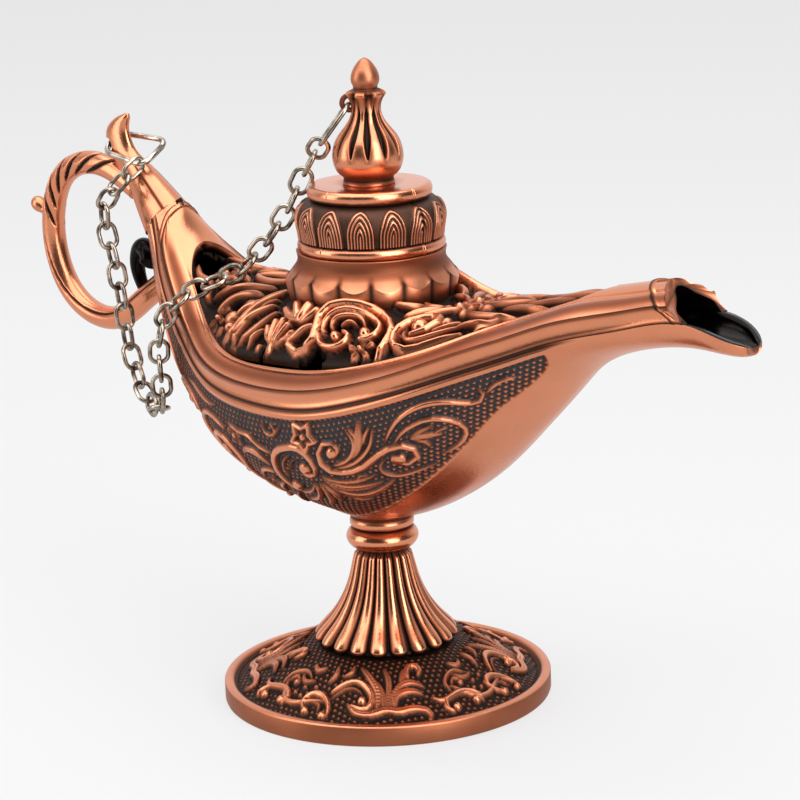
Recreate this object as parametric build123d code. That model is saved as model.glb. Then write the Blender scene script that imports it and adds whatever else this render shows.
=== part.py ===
from build123d import *
import os
from math import atan2, cos, pi, radians, sin, tan

# A genie oil lamp, in millimetres. It stands on its foot: +Z is up, +X runs to the spout, +Y is
# the far side, and the origin is the centre of the foot's underside. The body is a stack of
# castings drawn together by one bolt: foot, fluted stem, collar and a boat-shaped bowl in two
# halves. A cover with a pierced deck closes the bowl, and a loose lid hangs on a chain from a
# ring at the tail.

# Foot, stem and collar
FOOT_RADIUS = 35.0
FOOT_HEIGHT = 12.0
FOOT_RIM_HEIGHT = 3.8
FOOT_RIM_WIDTH = 2.2
FOOT_WALL = 2.2
FOOT_DOME_STEP = 0.4
DOME_RISE_SHARE = 0.62
STEM_BASE_RADIUS = 14.5
STEM_NECK_RADIUS = 5.2
STEM_HEIGHT = 20.5
STEM_WALL = 2.2
FLUTE_COUNT = 20
CREST_SHARE = 0.28
COLLAR_RADIUS = 7.7
COLLAR_HEIGHT = 4.5
BOSS_RADIUS = 6.8
BOSS_HEIGHT = 3.0
NUT_PAD_RADIUS = 5.2
NUT_PAD_HEIGHT = 3.5

# Bowl, cover and deck
HULL_HEIGHT = 60.0
HALF_BEAM = 31.0
SPOUT_REACH = 97.6
TAIL_REACH = 66.5
HULL_WALL = 1.6
COVER_WALL = 1.8
BEAD_STEP = 0.7
PARTING_GAP = 0.3
DECK_WALL = 1.8
DECK_GAP = 0.1
OPENING_LIP = 0.6
CRESCENT_WIDTH_SHARE = 0.62
CRESCENT_STEPS = 6

# Neck of the cover
NECK_RADIUS = 15.7
NECK_BORE_RADIUS = 13.5
NECK_HEIGHT = 9.9
NECK_SPIGOT_DEPTH = 2.4
SKIRT_RADIUS = 18.4
SKIRT_HEIGHT = 1.4
SCALLOP_COUNT = 16
SCALLOP_DEPTH = 0.9

# Lid
LID_CLEARANCE = 0.3
LID_SPIGOT_DEPTH = 6.0
LID_WALL = 1.6
LID_BEAD_RADIUS = 15.3
LID_BEAD_HEIGHT = 2.6
LID_DRUM_RADIUS = 15.1
LID_DRUM_HEIGHT = 7.6
LID_WAIST_RADIUS = 11.6
LID_WAIST_HEIGHT = 1.5
LID_DISC_RADIUS = 12.5
LID_DISC_HEIGHT = 1.9

# Finial on the lid
FINIAL_FOOT_RADIUS = 5.3
FINIAL_RADIUS = 7.4
FINIAL_HEIGHT = 25.9
FINIAL_LOBES = 12
EYE_WIRE_RADIUS = 0.55
EYE_RADIUS = 1.5

# Fasteners
BOLT_RADIUS = 2.0
BOLT_HEAD_WIDTH = 7.0
BOLT_HEAD_HEIGHT = 2.8
BOLT_END_LENGTH = 1.6
BOLT_CLEARANCE = 0.15
THREAD_CLEARANCE = 0.05
WASHER_RADIUS = 5.0
WASHER_THICKNESS = 0.8
NUT_WIDTH = 7.0
NUT_HEIGHT = 3.2
STUD_RADIUS = 1.5
STUD_LENGTH = 12.0
STUD_NUT_WIDTH = 5.5
STUD_NUT_HEIGHT = 2.4
STUD_WASHER_RADIUS = 4.0
STUD_WASHER_THICKNESS = 0.6

# Handle and horn
LOOP_RADIUS = 2.65
LOOP_DEPTH = 33.3
LOOP_SIDES = 12
WIRE_SIDES = 6
ARC_SHARE = 0.48
KNOB_RADIUS = 1.7
KNOB_STALK_RADIUS = 1.1
KNOB_STALK_LENGTH = 3.6
KNOB_TILT = 31.0
SCROLL_WIRE_RADIUS = 1.25
HORN_EYE_RADIUS = 1.7
HORN_SIDES = 16

# Split ring, end link and chain
RING_LENGTH = 13.4
RING_NARROW_WIDTH = 6.4
RING_WIDE_WIDTH = 9.0
RING_WIRE_RADIUS = 0.6
RING_BEND_RADIUS = 1.6
RING_SPLIT = 0.2
RING_ROLL = 30.0
RING_SLOPE = 8.0
LINK_PITCH = 4.6
LINK_WIDTH = 4.9
LINK_WIRE = 0.9
LINK_WIRE_SIDES = 4
LINK_END_SIDES = 4
LINK_CLEARANCE = 0.1
END_LINK_PITCH = 9.0
END_LINK_WIDTH = 5.4
END_LINK_SLOPE = 53.0
CHAIN_TURN = 43.0

CUT_OVERRUN = 1.0

# Levels that follow from the sizes above
STEM_BASE_Z = FOOT_HEIGHT
COLLAR_BASE_Z = STEM_BASE_Z + STEM_HEIGHT
BOSS_BASE_Z = COLLAR_BASE_Z + COLLAR_HEIGHT
HULL_BASE_Z = BOSS_BASE_Z + BOSS_HEIGHT
NUT_SEAT_Z = HULL_BASE_Z + NUT_PAD_HEIGHT
NECK_SEAT_SHARE = 0.783
NECK_SEAT_Z = HULL_BASE_Z + NECK_SEAT_SHARE * HULL_HEIGHT
LID_BASE_Z = NECK_SEAT_Z + NECK_HEIGHT
LID_DRUM_Z = LID_BASE_Z + LID_BEAD_HEIGHT
LID_WAIST_Z = LID_DRUM_Z + LID_DRUM_HEIGHT
LID_DISC_Z = LID_WAIST_Z + LID_WAIST_HEIGHT
LID_TOP_Z = LID_DISC_Z + LID_DISC_HEIGHT
STUD_BASE_Z = LID_TOP_Z - STUD_LENGTH / 2
STUD_TOP_Z = LID_TOP_Z + STUD_LENGTH / 2

# The stem's fluting from its foot up, as shares of the stem's height and of its base radius:
# height, crest radius, valley radius
flute_shares = (
    (0.000, 1.000, 0.938),
    (0.195, 0.793, 0.743),
    (0.390, 0.593, 0.553),
    (0.634, 0.476, 0.444),
    (0.878, 0.414, 0.386),
    (0.951, 0.366, 0.345),
)

# Stations of the hull from the tail to the spout tip, as shares. The columns are: place of the
# rim, height of the rim, place of the keel, height of the keel, half-width at the rim, side
# fullness, keel fullness. Places behind the axis are shares of the tail's reach and places
# before it of the spout's, and heights are shares of the hull's height over its base.
hull_shares = (
    (-0.925, 0.950, -1.000, 0.867, 0.148, 0.50, 0.50),
    (-0.887, 0.875, -0.970, 0.742, 0.200, 0.50, 0.47),
    (-0.827, 0.792, -0.917, 0.592, 0.300, 0.50, 0.45),
    (-0.722, 0.675, -0.820, 0.392, 0.432, 0.46, 0.45),
    (-0.571, 0.575, -0.654, 0.200, 0.606, 0.50, 0.46),
    (-0.376, 0.503, -0.406, 0.067, 0.816, 0.52, 0.50),
    (-0.075, 0.483, -0.075, 0.000, 0.968, 0.52, 0.55),
    (0.072, 0.497, 0.072, 0.005, 1.000, 0.50, 0.55),
    (0.212, 0.550, 0.212, 0.092, 0.968, 0.45, 0.50),
    (0.334, 0.617, 0.334, 0.225, 0.871, 0.40, 0.38),
    (0.430, 0.678, 0.430, 0.367, 0.729, 0.36, 0.31),
    (0.517, 0.733, 0.517, 0.508, 0.568, 0.36, 0.31),
    (0.605, 0.787, 0.605, 0.650, 0.426, 0.40, 0.35),
    (0.746, 0.845, 0.746, 0.755, 0.290, 0.50, 0.50),
    (0.891, 0.883, 0.891, 0.787, 0.219, 0.58, 0.58),
    (0.963, 0.848, 0.963, 0.782, 0.174, 0.58, 0.58),
    (0.988, 0.830, 0.988, 0.785, 0.116, 0.58, 0.58),
    (1.000, 0.822, 1.000, 0.792, 0.071, 0.58, 0.58),
)
# The cover over those stations but the last: half-width of the band's inner edge as a share of
# the rim's, then the height of that edge and of the crown over the rim. The last three lie
# past the mouth, where they only keep the cover's lower edge along the rim.
cover_shares = (
    (0.70, 0.060, 0.092),
    (0.71, 0.083, 0.113),
    (0.65, 0.093, 0.117),
    (0.67, 0.100, 0.150),
    (0.77, 0.087, 0.183),
    (0.84, 0.092, 0.217),
    (0.83, 0.103, 0.233),
    (0.84, 0.112, 0.250),
    (0.79, 0.108, 0.233),
    (0.66, 0.108, 0.200),
    (0.51, 0.115, 0.167),
    (0.455, 0.113, 0.147),
    (0.41, 0.113, 0.137),
    (0.50, 0.105, 0.132),
    (0.53, 0.090, 0.117),
    (0.53, 0.080, 0.107),
    (0.70, 0.080, 0.107),
)
BEAD_SHARE = 0.5
FULL_STEP_SHARE = 0.3
# The opening for the deck runs along the band's inner edge from the fourth station on and
# comes to a point at the tail and at the spout.
OPENING_FIRST = 3
OPENING_LAST = 12
opening_stations = list(zip(hull_shares, cover_shares))[OPENING_FIRST:OPENING_LAST + 1]
OPENING_TAIL_SHARE = -0.767
OPENING_SPOUT_SHARE = 0.676
# The deck's ridge over the hull's base, from the tail point to the spout point
ridge_shares = (0.870, 0.812, 0.795, 0.795, 0.890, 0.890, 0.810, 0.830, 0.858, 0.885, 0.922, 0.942)
POINT_WIDTH_SHARE = 0.06
MOUTH_TOP_SHARES = (0.802, 0.988)
MOUTH_CORNER_SHARES = (0.881, 0.883)
# Crescent piercings of the deck on each side: place along and across, the two radii, then the
# angle where the crescent starts and the angle it turns through, in degrees
piercing_shares = (
    (-0.045, 0.697, 0.061, 0.061, 20, 230),
    (0.143, 0.587, 0.097, 0.090, 150, 250),
    (0.261, 0.435, 0.110, 0.105, -30, 260),
    (0.261, 0.161, 0.100, 0.100, 100, 250),
    (0.364, 0.258, 0.100, 0.100, -60, 260),
    (0.466, 0.135, 0.080, 0.070, 60, 240),
    (-0.241, 0.565, 0.095, 0.090, -20, 250),
    (-0.383, 0.387, 0.100, 0.100, 120, 260),
    (-0.383, 0.135, 0.090, 0.085, -80, 250),
    (-0.534, 0.265, 0.100, 0.095, 30, 260),
    (-0.644, 0.123, 0.075, 0.065, 160, 240),
)

# Outlines of the lid's drum, the finial's base, its lobes, its bud: heights and radii as shares
# of the drum's, then of the finial's. A lobe has a crest and a valley radius.
drum_shares = ((0.00, 0.965), (0.35, 1.000), (0.67, 0.975), (0.88, 0.910), (1.00, 0.785))
onion_shares = ((0.040, 0.700), (0.080, 0.850), (0.130, 0.935), (0.251, 0.985))
lobe_shares = (
    (0.251, 1.000, 0.900),
    (0.367, 0.850, 0.740),
    (0.494, 0.510, 0.430),
    (0.579, 0.385, 0.330),
    (0.670, 0.370, 0.330),
    (0.737, 0.430, 0.380),
)
bud_shares = (
    (0.730, 0.300), (0.780, 0.380), (0.835, 0.400), (0.900, 0.330), (0.960, 0.170), (1.000, 0.020),
)

# The horn's sections from its root to its tip: front and rear points along and up, half-width
horn_shares = (
    (-0.955, 1.083, -1.050, 0.970, 0.116),
    (-1.038, 1.150, -1.107, 1.067, 0.081),
    (-1.080, 1.192, -1.218, 1.175, 0.055),
    (-1.099, 1.242, -1.200, 1.247, 0.048),
    (-1.101, 1.292, -1.140, 1.303, 0.026),
)
HORN_EYE_SHARES = (-1.179, 1.198)
# Centre lines of the loop and of its scroll: share of the loop's depth behind the tail, height
loop_shares = (
    (0.120, 1.033), (0.405, 1.100), (0.646, 1.105), (0.871, 1.042), (0.994, 0.900), (0.985, 0.733),
    (0.856, 0.600), (0.631, 0.527), (0.375, 0.530), (0.150, 0.605), (-0.150, 0.720),
)
scroll_shares = (
    (0.090, 0.642), (0.153, 0.700), (0.153, 0.800), (0.012, 0.800), (0.012, 0.727),
)
KNOB_SHARES = (0.994, 0.867)

# The finial's small eye and the chain's way from the ring to the end link. A point of its lower
# way is a share of the tail's reach, of the half beam and of the hull's height. A point of its
# climb to the finial is two shares of the lid's drum radius and one of the lid's height.
FINIAL_EYE_SHARES = (0.460, 0.645)
sag_shares = (
    (-1.042, -0.278, 1.056), (-1.084, -0.288, 0.996), (-1.096, -0.275, 0.933),
    (-1.080, -0.258, 0.833), (-1.062, -0.240, 0.708), (-1.042, -0.240, 0.583),
    (-1.023, -0.245, 0.462), (-0.980, -0.268, 0.370), (-0.914, -0.316, 0.297),
    (-0.836, -0.387, 0.270), (-0.767, -0.458, 0.313), (-0.740, -0.510, 0.392),
    (-0.715, -0.568, 0.492), (-0.684, -0.612, 0.602), (-0.636, -0.570, 0.710),
    (-0.570, -0.480, 0.769), (-0.516, -0.414, 0.797), (-0.460, -0.372, 0.820),
)
climb_shares = (
    (-1.795, -0.680, -0.390), (-1.575, -0.608, -0.140), (-1.360, -0.545, 0.155),
    (-1.140, -0.480, 0.493), (-0.920, -0.410, 0.963), (-0.703, -0.358, 1.375),
)
FALL_LINKS_SHARE = 0.33
RISE_LINKS_SHARE = 0.66
RING_HOOK_SHARE = 0.88


def along(share):
    return share * (SPOUT_REACH if share > 0 else TAIL_REACH)


def level(share):
    return HULL_BASE_Z + share * HULL_HEIGHT


def turned(lines):
    # A solid of revolution about the lamp's axis, from an outline of radii and heights
    return revolve(Plane.XZ * make_face(lines), Axis.Z)


def turned_outline(points):
    return turned(Polyline(points, close=True))


def disc(radius, low, high, x=0, y=0):
    return Pos(x, y, (low + high) / 2) * Cylinder(radius, high - low)


def hexagon(width, low, high):
    return Pos(0, 0, low) * extrude(RegularPolygon(width / 2, 6, major_radius=False), high - low)


def lobed_face(crest, valley, count, z):
    # A round section with flat-crested lobes, as on flutes and petals
    points = []
    for i in range(count):
        for part, radius in ((0, valley), (CREST_SHARE, crest), (1 - CREST_SHARE, crest)):
            turn = 2 * pi * (i + part) / count
            points.append((radius * cos(turn), radius * sin(turn)))
    return Pos(0, 0, z) * make_face(Polyline(points, close=True))


def smooth_path(points):
    # Straight runs joined by tangent arcs, each arc as large as its two runs allow
    radii = []
    for before, here, after in zip(points, points[1:], points[2:]):
        first = Vector(*here) - Vector(*before)
        second = Vector(*after) - Vector(*here)
        turn = radians(first.get_angle(second))
        radii.append(ARC_SHARE * min(first.length, second.length) / tan(turn / 2))
    return FilletPolyline(*points, radius=radii)


def swept_round(path, radius, sides):
    section = Plane(origin=path @ 0, x_dir=(0, 1, 0), z_dir=path % 0)
    return sweep(section * RegularPolygon(radius, sides), path=path)


# Hull sections

def station(shares):
    # The section plane holds the Y direction and the line from the keel to the rim.
    rim = Vector(along(shares[0]), 0, level(shares[1]))
    keel = Vector(along(shares[2]), 0, level(shares[3]))
    depth = (rim - keel).length
    up = (rim - keel) / depth
    return Plane(origin=rim, x_dir=(0, 1, 0), z_dir=(up.Z, 0, -up.X)), depth, up


def bowl_section(shares, wall=0, rise=0):
    # Two full curves from rim to keel, closed on top; a cavity stands a wall inside them.
    plane, depth, up = station(shares)
    half = shares[4] * HALF_BEAM - wall
    depth = depth - wall
    side, belly = shares[5] * depth, shares[6] * half
    lines = [
        Bezier((-half, 0), (-half, -side), (-belly, -depth), (0, -depth)),
        Bezier((0, -depth), (belly, -depth), (half, -side), (half, 0)),
    ]
    if rise:
        lines.append(Polyline((half, 0), (half, rise), (-half, rise), (-half, 0)))
    else:
        lines.append(Line((half, 0), (-half, 0)))
    return plane * make_face(lines)


def cover_section(shares, band, wall=0, step=0, low=0):
    # An upright bead, a sloping band and an arched crown
    plane, depth, up = station(shares)
    edge_share, edge_rise, crown_rise = band
    half = shares[4] * HALF_BEAM
    edge = edge_share * half - wall
    rise = edge_rise * HULL_HEIGHT - wall
    crown = crown_rise * HULL_HEIGHT - wall
    bead = BEAD_SHARE * rise
    half = half - wall
    right = [(half, low), (half, bead), (half - step, bead), (edge, rise)]
    if not step:
        right.pop(2)
    left = [(-x, y) for x, y in reversed(right)]
    lines = [
        Polyline(right),
        ThreePointArc((edge, rise), (0, crown), (-edge, rise)),
        Polyline(left),
        Line(left[-1], right[0]),
    ]
    return plane * make_face(lines)


def band_edge(shares, band):
    # The middle of the section at the height of the band's inner edge, and its half-width
    plane, depth, up = station(shares)
    place = plane.origin + up * (band[1] * HULL_HEIGHT)
    return place, band[0] * shares[4] * HALF_BEAM


def opening_outline(inset):
    # The opening's plan: a pointed oval along the band's inner edge
    edges = [band_edge(*pair) for pair in opening_stations]
    tail = (along(OPENING_TAIL_SHARE) + inset, 0)
    spout = (along(OPENING_SPOUT_SHARE) - inset, 0)
    side = [(place.X, half - OPENING_LIP - inset) for place, half in edges]
    far = Spline(tail, *side, spout)
    near = Spline(spout, *[(x, -y) for x, y in reversed(side)], tail)
    return make_face([far, near])


def opening_prism(inset):
    tall = 2 * HULL_HEIGHT
    return Pos(0, 0, HULL_BASE_Z) * extrude(opening_outline(inset), tall)


# Foot, stem and collar

def make_foot():
    dome_base = FOOT_RADIUS - FOOT_RIM_WIDTH
    dome_mid = (dome_base + STEM_BASE_RADIUS) / 2
    dome_low = FOOT_RIM_HEIGHT - FOOT_DOME_STEP
    dome_mid_z = dome_low + DOME_RISE_SHARE * (FOOT_HEIGHT - dome_low)
    bore = BOLT_RADIUS + BOLT_CLEARANCE
    under = FOOT_HEIGHT - FOOT_WALL
    inner_base = dome_base - FOOT_WALL
    return turned([
        Polyline((FOOT_RADIUS, 0), (FOOT_RADIUS, FOOT_RIM_HEIGHT), (dome_base, FOOT_RIM_HEIGHT),
                 (dome_base, dome_low)),
        ThreePointArc((dome_base, dome_low), (dome_mid, dome_mid_z),
                      (STEM_BASE_RADIUS, FOOT_HEIGHT)),
        Polyline((STEM_BASE_RADIUS, FOOT_HEIGHT), (bore, FOOT_HEIGHT), (bore, under),
                 (STEM_BASE_RADIUS - FOOT_WALL, under)),
        ThreePointArc((STEM_BASE_RADIUS - FOOT_WALL, under),
                      (dome_mid - FOOT_WALL / 2, dome_mid_z - FOOT_WALL),
                      (inner_base, dome_low - FOOT_WALL)),
        Polyline((inner_base, dome_low - FOOT_WALL), (inner_base, 0), (FOOT_RADIUS, 0)),
    ])


def make_stem():
    faces = [
        lobed_face(crest * STEM_BASE_RADIUS, valley * STEM_BASE_RADIUS, FLUTE_COUNT,
                   STEM_BASE_Z + height * STEM_HEIGHT)
        for height, crest, valley in flute_shares
    ]
    top = COLLAR_BASE_Z
    neck_low = STEM_BASE_Z + flute_shares[-1][0] * STEM_HEIGHT
    stem = loft(faces, ruled=True) + disc(STEM_NECK_RADIUS, neck_low, top)
    bore = BOLT_RADIUS + BOLT_CLEARANCE
    cavity = [
        (valley * STEM_BASE_RADIUS - STEM_WALL, STEM_BASE_Z + height * STEM_HEIGHT)
        for height, crest, valley in flute_shares[:-1]
    ]
    outline = [(0, STEM_BASE_Z)] + cavity + [(bore, neck_low), (bore, top), (0, top)]
    return stem - turned_outline(outline)


def make_collar():
    bead = COLLAR_HEIGHT / 2
    mid = COLLAR_BASE_Z + bead
    neck = COLLAR_RADIUS - bead / 2
    bore = BOLT_RADIUS + BOLT_CLEARANCE
    return turned([
        Line((bore, COLLAR_BASE_Z), (neck, COLLAR_BASE_Z)),
        ThreePointArc((neck, COLLAR_BASE_Z), (COLLAR_RADIUS, mid), (neck, BOSS_BASE_Z)),
        Polyline((neck, BOSS_BASE_Z), (bore, BOSS_BASE_Z), (bore, COLLAR_BASE_Z)),
    ])


# The bolt that draws the foot, stem, collar and bowl together

def make_bolt():
    head_top = FOOT_HEIGHT - FOOT_WALL - WASHER_THICKNESS
    end = NUT_SEAT_Z + NUT_HEIGHT + BOLT_END_LENGTH
    bolt = hexagon(BOLT_HEAD_WIDTH, head_top - BOLT_HEAD_HEIGHT, head_top)
    bolt += disc(BOLT_RADIUS, head_top, end)
    return chamfer(bolt.edges().group_by(Axis.Z)[-1], BOLT_RADIUS / 4)


def make_washer():
    seat = FOOT_HEIGHT - FOOT_WALL
    low = seat - WASHER_THICKNESS
    return disc(WASHER_RADIUS, low, seat) - disc(BOLT_RADIUS + BOLT_CLEARANCE, low, seat)


def make_nut(width, bore, low, high):
    return hexagon(width, low, high) - disc(bore, low, high)


# Bowl halves, cover and deck

def make_bowl(outer):
    inner = loft([bowl_section(row, HULL_WALL, CUT_OVERRUN) for row in hull_shares[:-1]])
    boss = disc(BOSS_RADIUS, BOSS_BASE_Z, NUT_SEAT_Z)
    pad = disc(NUT_PAD_RADIUS, HULL_BASE_Z, NUT_SEAT_Z)
    bore = disc(BOLT_RADIUS + BOLT_CLEARANCE, BOSS_BASE_Z, NUT_SEAT_Z)
    return outer + boss - inner + pad - bore


def halves(solid):
    # The castings meet on the upright plane through the spout and the tail.
    near = split(solid, bisect_by=Plane.XZ, keep=Keep.TOP)
    far = split(solid, bisect_by=Plane.XZ, keep=Keep.BOTTOM)
    return near, far


def make_cover():
    outer = loft([
        cover_section(row, band, step=BEAD_STEP * min(1, row[4] / FULL_STEP_SHARE),
                      low=PARTING_GAP)
        for row, band in zip(hull_shares, cover_shares)
    ])
    cavity = loft([
        cover_section(row, band, wall=COVER_WALL, low=-CUT_OVERRUN)
        for row, band in zip(hull_shares, cover_shares)
    ])
    cover = outer - cavity - opening_prism(0)
    top = Vector(along(MOUTH_TOP_SHARES[0]), 0, level(MOUTH_TOP_SHARES[1]))
    corner = Vector(along(MOUTH_CORNER_SHARES[0]), 0, level(MOUTH_CORNER_SHARES[1]))
    run = corner - top
    mouth = Plane(origin=top, x_dir=(0, 1, 0), z_dir=(-run.Z, 0, run.X))
    return split(cover, bisect_by=mouth, keep=Keep.BOTTOM)


def deck_section(x, half, edge_z, ridge_z):
    plane = Plane(origin=(x, 0, edge_z), x_dir=(0, 1, 0), z_dir=(1, 0, 0))
    rise = ridge_z - edge_z
    lines = [
        ThreePointArc((-half, 0), (0, rise), (half, 0)),
        Line((half, 0), (half, -DECK_WALL)),
        ThreePointArc((half, -DECK_WALL), (0, rise - DECK_WALL), (-half, -DECK_WALL)),
        Line((-half, -DECK_WALL), (-half, 0)),
    ]
    return plane * make_face(lines)


def crescent(x, y, radius_x, radius_y, start, sweep_angle):
    # A comma-shaped piercing: an elliptic arc that thins to a point at both ends
    outside, inside = [], []
    for i in range(CRESCENT_STEPS + 1):
        part = i / CRESCENT_STEPS
        turn = radians(start + sweep_angle * part)
        thin = 1 - CRESCENT_WIDTH_SHARE * sin(pi * part)
        outside.append((x + radius_x * cos(turn), y + radius_y * sin(turn)))
        inside.append((x + thin * radius_x * cos(turn), y + thin * radius_y * sin(turn)))
    return make_face(Polyline(outside + inside[-2:0:-1], close=True))


def make_deck():
    edges = [band_edge(*pair) for pair in opening_stations]
    tail, spout = along(OPENING_TAIL_SHARE), along(OPENING_SPOUT_SHARE)
    point_half = POINT_WIDTH_SHARE * HALF_BEAM
    sections = [deck_section(tail, point_half, level(ridge_shares[0]) - DECK_WALL / 2,
                             level(ridge_shares[0]))]
    for (place, half), ridge in zip(edges, ridge_shares[1:]):
        sections.append(deck_section(place.X, half + CUT_OVERRUN, place.Z, level(ridge)))
    sections.append(deck_section(spout, point_half, level(ridge_shares[-1]) - DECK_WALL / 2,
                                 level(ridge_shares[-1])))
    deck = loft(sections) & opening_prism(DECK_GAP)
    seat = SKIRT_RADIUS + DECK_GAP
    tall = NECK_SEAT_Z + HULL_HEIGHT
    deck = deck - disc(seat, NECK_SEAT_Z, tall)
    deck = deck + disc(seat, NECK_SEAT_Z - NECK_SPIGOT_DEPTH, NECK_SEAT_Z)
    deck = deck - disc(NECK_RADIUS + DECK_GAP, HULL_BASE_Z, tall)
    piercings = []
    for row in piercing_shares:
        x, y, radius_x, radius_y, start, turn = row
        for side in (1, -1):
            outline = crescent(along(x), side * y * HALF_BEAM, radius_x * HALF_BEAM,
                               side * radius_y * HALF_BEAM, start, turn)
            piercings.append(Pos(0, 0, HULL_BASE_Z) * extrude(outline, tall, both=False))
    return deck - piercings


def make_neck():
    flare_z = NECK_SEAT_Z + SKIRT_HEIGHT
    valley = SKIRT_RADIUS - SCALLOP_DEPTH
    skirt = extrude(lobed_face(SKIRT_RADIUS, valley, SCALLOP_COUNT, NECK_SEAT_Z), SKIRT_HEIGHT)
    low = NECK_SEAT_Z - NECK_SPIGOT_DEPTH
    body = turned([
        Polyline((NECK_BORE_RADIUS, low), (NECK_RADIUS, low), (NECK_RADIUS, NECK_SEAT_Z),
                 (valley, NECK_SEAT_Z), (valley, flare_z)),
        ThreePointArc((valley, flare_z),
                      (NECK_RADIUS + (valley - NECK_RADIUS) / 3, flare_z + SKIRT_HEIGHT / 2),
                      (NECK_RADIUS, flare_z + 3 * SKIRT_HEIGHT / 2)),
        Polyline((NECK_RADIUS, flare_z + 3 * SKIRT_HEIGHT / 2), (NECK_RADIUS, LID_BASE_Z),
                 (NECK_BORE_RADIUS, LID_BASE_Z), (NECK_BORE_RADIUS, low)),
    ])
    return body + skirt - disc(NECK_BORE_RADIUS, low, LID_BASE_Z)


# Lid and finial

def make_lid():
    spigot = NECK_BORE_RADIUS - LID_CLEARANCE
    low = LID_BASE_Z - LID_SPIGOT_DEPTH
    bead_mid = (LID_BASE_Z + LID_DRUM_Z) / 2
    bead_foot = LID_BEAD_RADIUS - LID_BEAD_HEIGHT / 4
    drum = [(radius * LID_DRUM_RADIUS, LID_DRUM_Z + height * LID_DRUM_HEIGHT)
            for height, radius in drum_shares]
    disc_mid = (LID_DISC_Z + LID_TOP_Z) / 2
    disc_foot = LID_DISC_RADIUS - LID_DISC_HEIGHT / 4
    body = turned([
        Polyline((0, low), (spigot, low), (spigot, LID_BASE_Z), (bead_foot, LID_BASE_Z)),
        ThreePointArc((bead_foot, LID_BASE_Z), (LID_BEAD_RADIUS, bead_mid),
                      (bead_foot, LID_DRUM_Z)),
        Line((bead_foot, LID_DRUM_Z), drum[0]),
        Spline(drum),
        Polyline(drum[-1], (LID_WAIST_RADIUS, LID_DISC_Z), (disc_foot, LID_DISC_Z)),
        ThreePointArc((disc_foot, LID_DISC_Z), (LID_DISC_RADIUS, disc_mid),
                      (disc_foot, LID_TOP_Z)),
        Polyline((disc_foot, LID_TOP_Z), (0, LID_TOP_Z), (0, low)),
    ])
    room = spigot - LID_WALL
    top_room = LID_WAIST_RADIUS - LID_WALL
    cavity = turned_outline([
        (0, low), (room, low), (room, LID_DRUM_Z + LID_DRUM_HEIGHT / 2), (top_room, LID_WAIST_Z),
        (top_room, LID_DISC_Z), (0, LID_DISC_Z),
    ])
    bore = disc(STUD_RADIUS + BOLT_CLEARANCE, LID_DISC_Z, LID_TOP_Z)
    return body - cavity - bore


def finial_z(share):
    return LID_TOP_Z + share * FINIAL_HEIGHT


def make_finial():
    lobes = loft([
        lobed_face(crest * FINIAL_RADIUS, valley * FINIAL_RADIUS, FINIAL_LOBES, finial_z(height))
        for height, crest, valley in lobe_shares
    ], ruled=True)
    base = [(radius * FINIAL_RADIUS, finial_z(height)) for height, radius in onion_shares]
    onion = turned([
        Polyline((0, LID_TOP_Z), (FINIAL_FOOT_RADIUS, LID_TOP_Z), base[0]),
        Spline(base),
        Polyline(base[-1], (0, base[-1][1]), (0, LID_TOP_Z)),
    ])
    tip = [(radius * FINIAL_RADIUS, finial_z(height)) for height, radius in bud_shares]
    bud = turned([
        Spline(tip),
        Polyline(tip[-1], (0, tip[-1][1]), (0, tip[0][1]), tip[0]),
    ])
    wire = Plane.XZ * Pos(EYE_RADIUS, 0) * RegularPolygon(EYE_WIRE_RADIUS, WIRE_SIDES)
    eye = eye_plane * revolve(wire, Axis.Z)
    bore = disc(STUD_RADIUS + THREAD_CLEARANCE, LID_TOP_Z, STUD_TOP_Z)
    return onion + lobes + bud + eye - bore


# Horn, loop, scroll and knob of the handle

def facetted_oval(centre, up, half, deep):
    plane = Plane(origin=centre, x_dir=(0, 1, 0), z_dir=(-up.Z, 0, up.X))
    turns = [2 * pi * (i + 0.5) / HORN_SIDES for i in range(HORN_SIDES)]
    points = [(half * sin(turn), deep * cos(turn)) for turn in turns]
    return plane * make_face(Polyline(points, close=True))


def horn_section(front_x, front_z, rear_x, rear_z, half_share):
    front = Vector(front_x * TAIL_REACH, 0, level(front_z))
    rear = Vector(rear_x * TAIL_REACH, 0, level(rear_z))
    deep = (front - rear).length
    up = (front - rear) / deep
    return facetted_oval((front + rear) / 2, up, half_share * HALF_BEAM, deep / 2)


def make_horn():
    # The root has the outline of the bowl and the cover where they end.
    plane, depth, up = station(hull_shares[0])
    crown = cover_shares[0][2] * HULL_HEIGHT
    root = facetted_oval(plane.origin + up * ((crown - depth) / 2), up,
                         hull_shares[0][4] * HALF_BEAM, (crown + depth) / 2)
    horn = loft([root] + [horn_section(*row) for row in horn_shares], ruled=True)
    hole = ring_plane * Rot(X=90) * Cylinder(HORN_EYE_RADIUS, RING_LENGTH)
    return horn - hole


def make_loop(horn, hull):
    points = [(-TAIL_REACH - x * LOOP_DEPTH, level(z)) for x, z in loop_shares]
    path = Plane.XZ * smooth_path(points)
    return swept_round(path, LOOP_RADIUS, LOOP_SIDES) - horn - hull


def make_scroll(loop, hull):
    points = [(-TAIL_REACH - x * LOOP_DEPTH, level(z)) for x, z in scroll_shares]
    path = Plane.XZ * smooth_path(points)
    return swept_round(path, SCROLL_WIRE_RADIUS, WIRE_SIDES) - loop - hull


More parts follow.
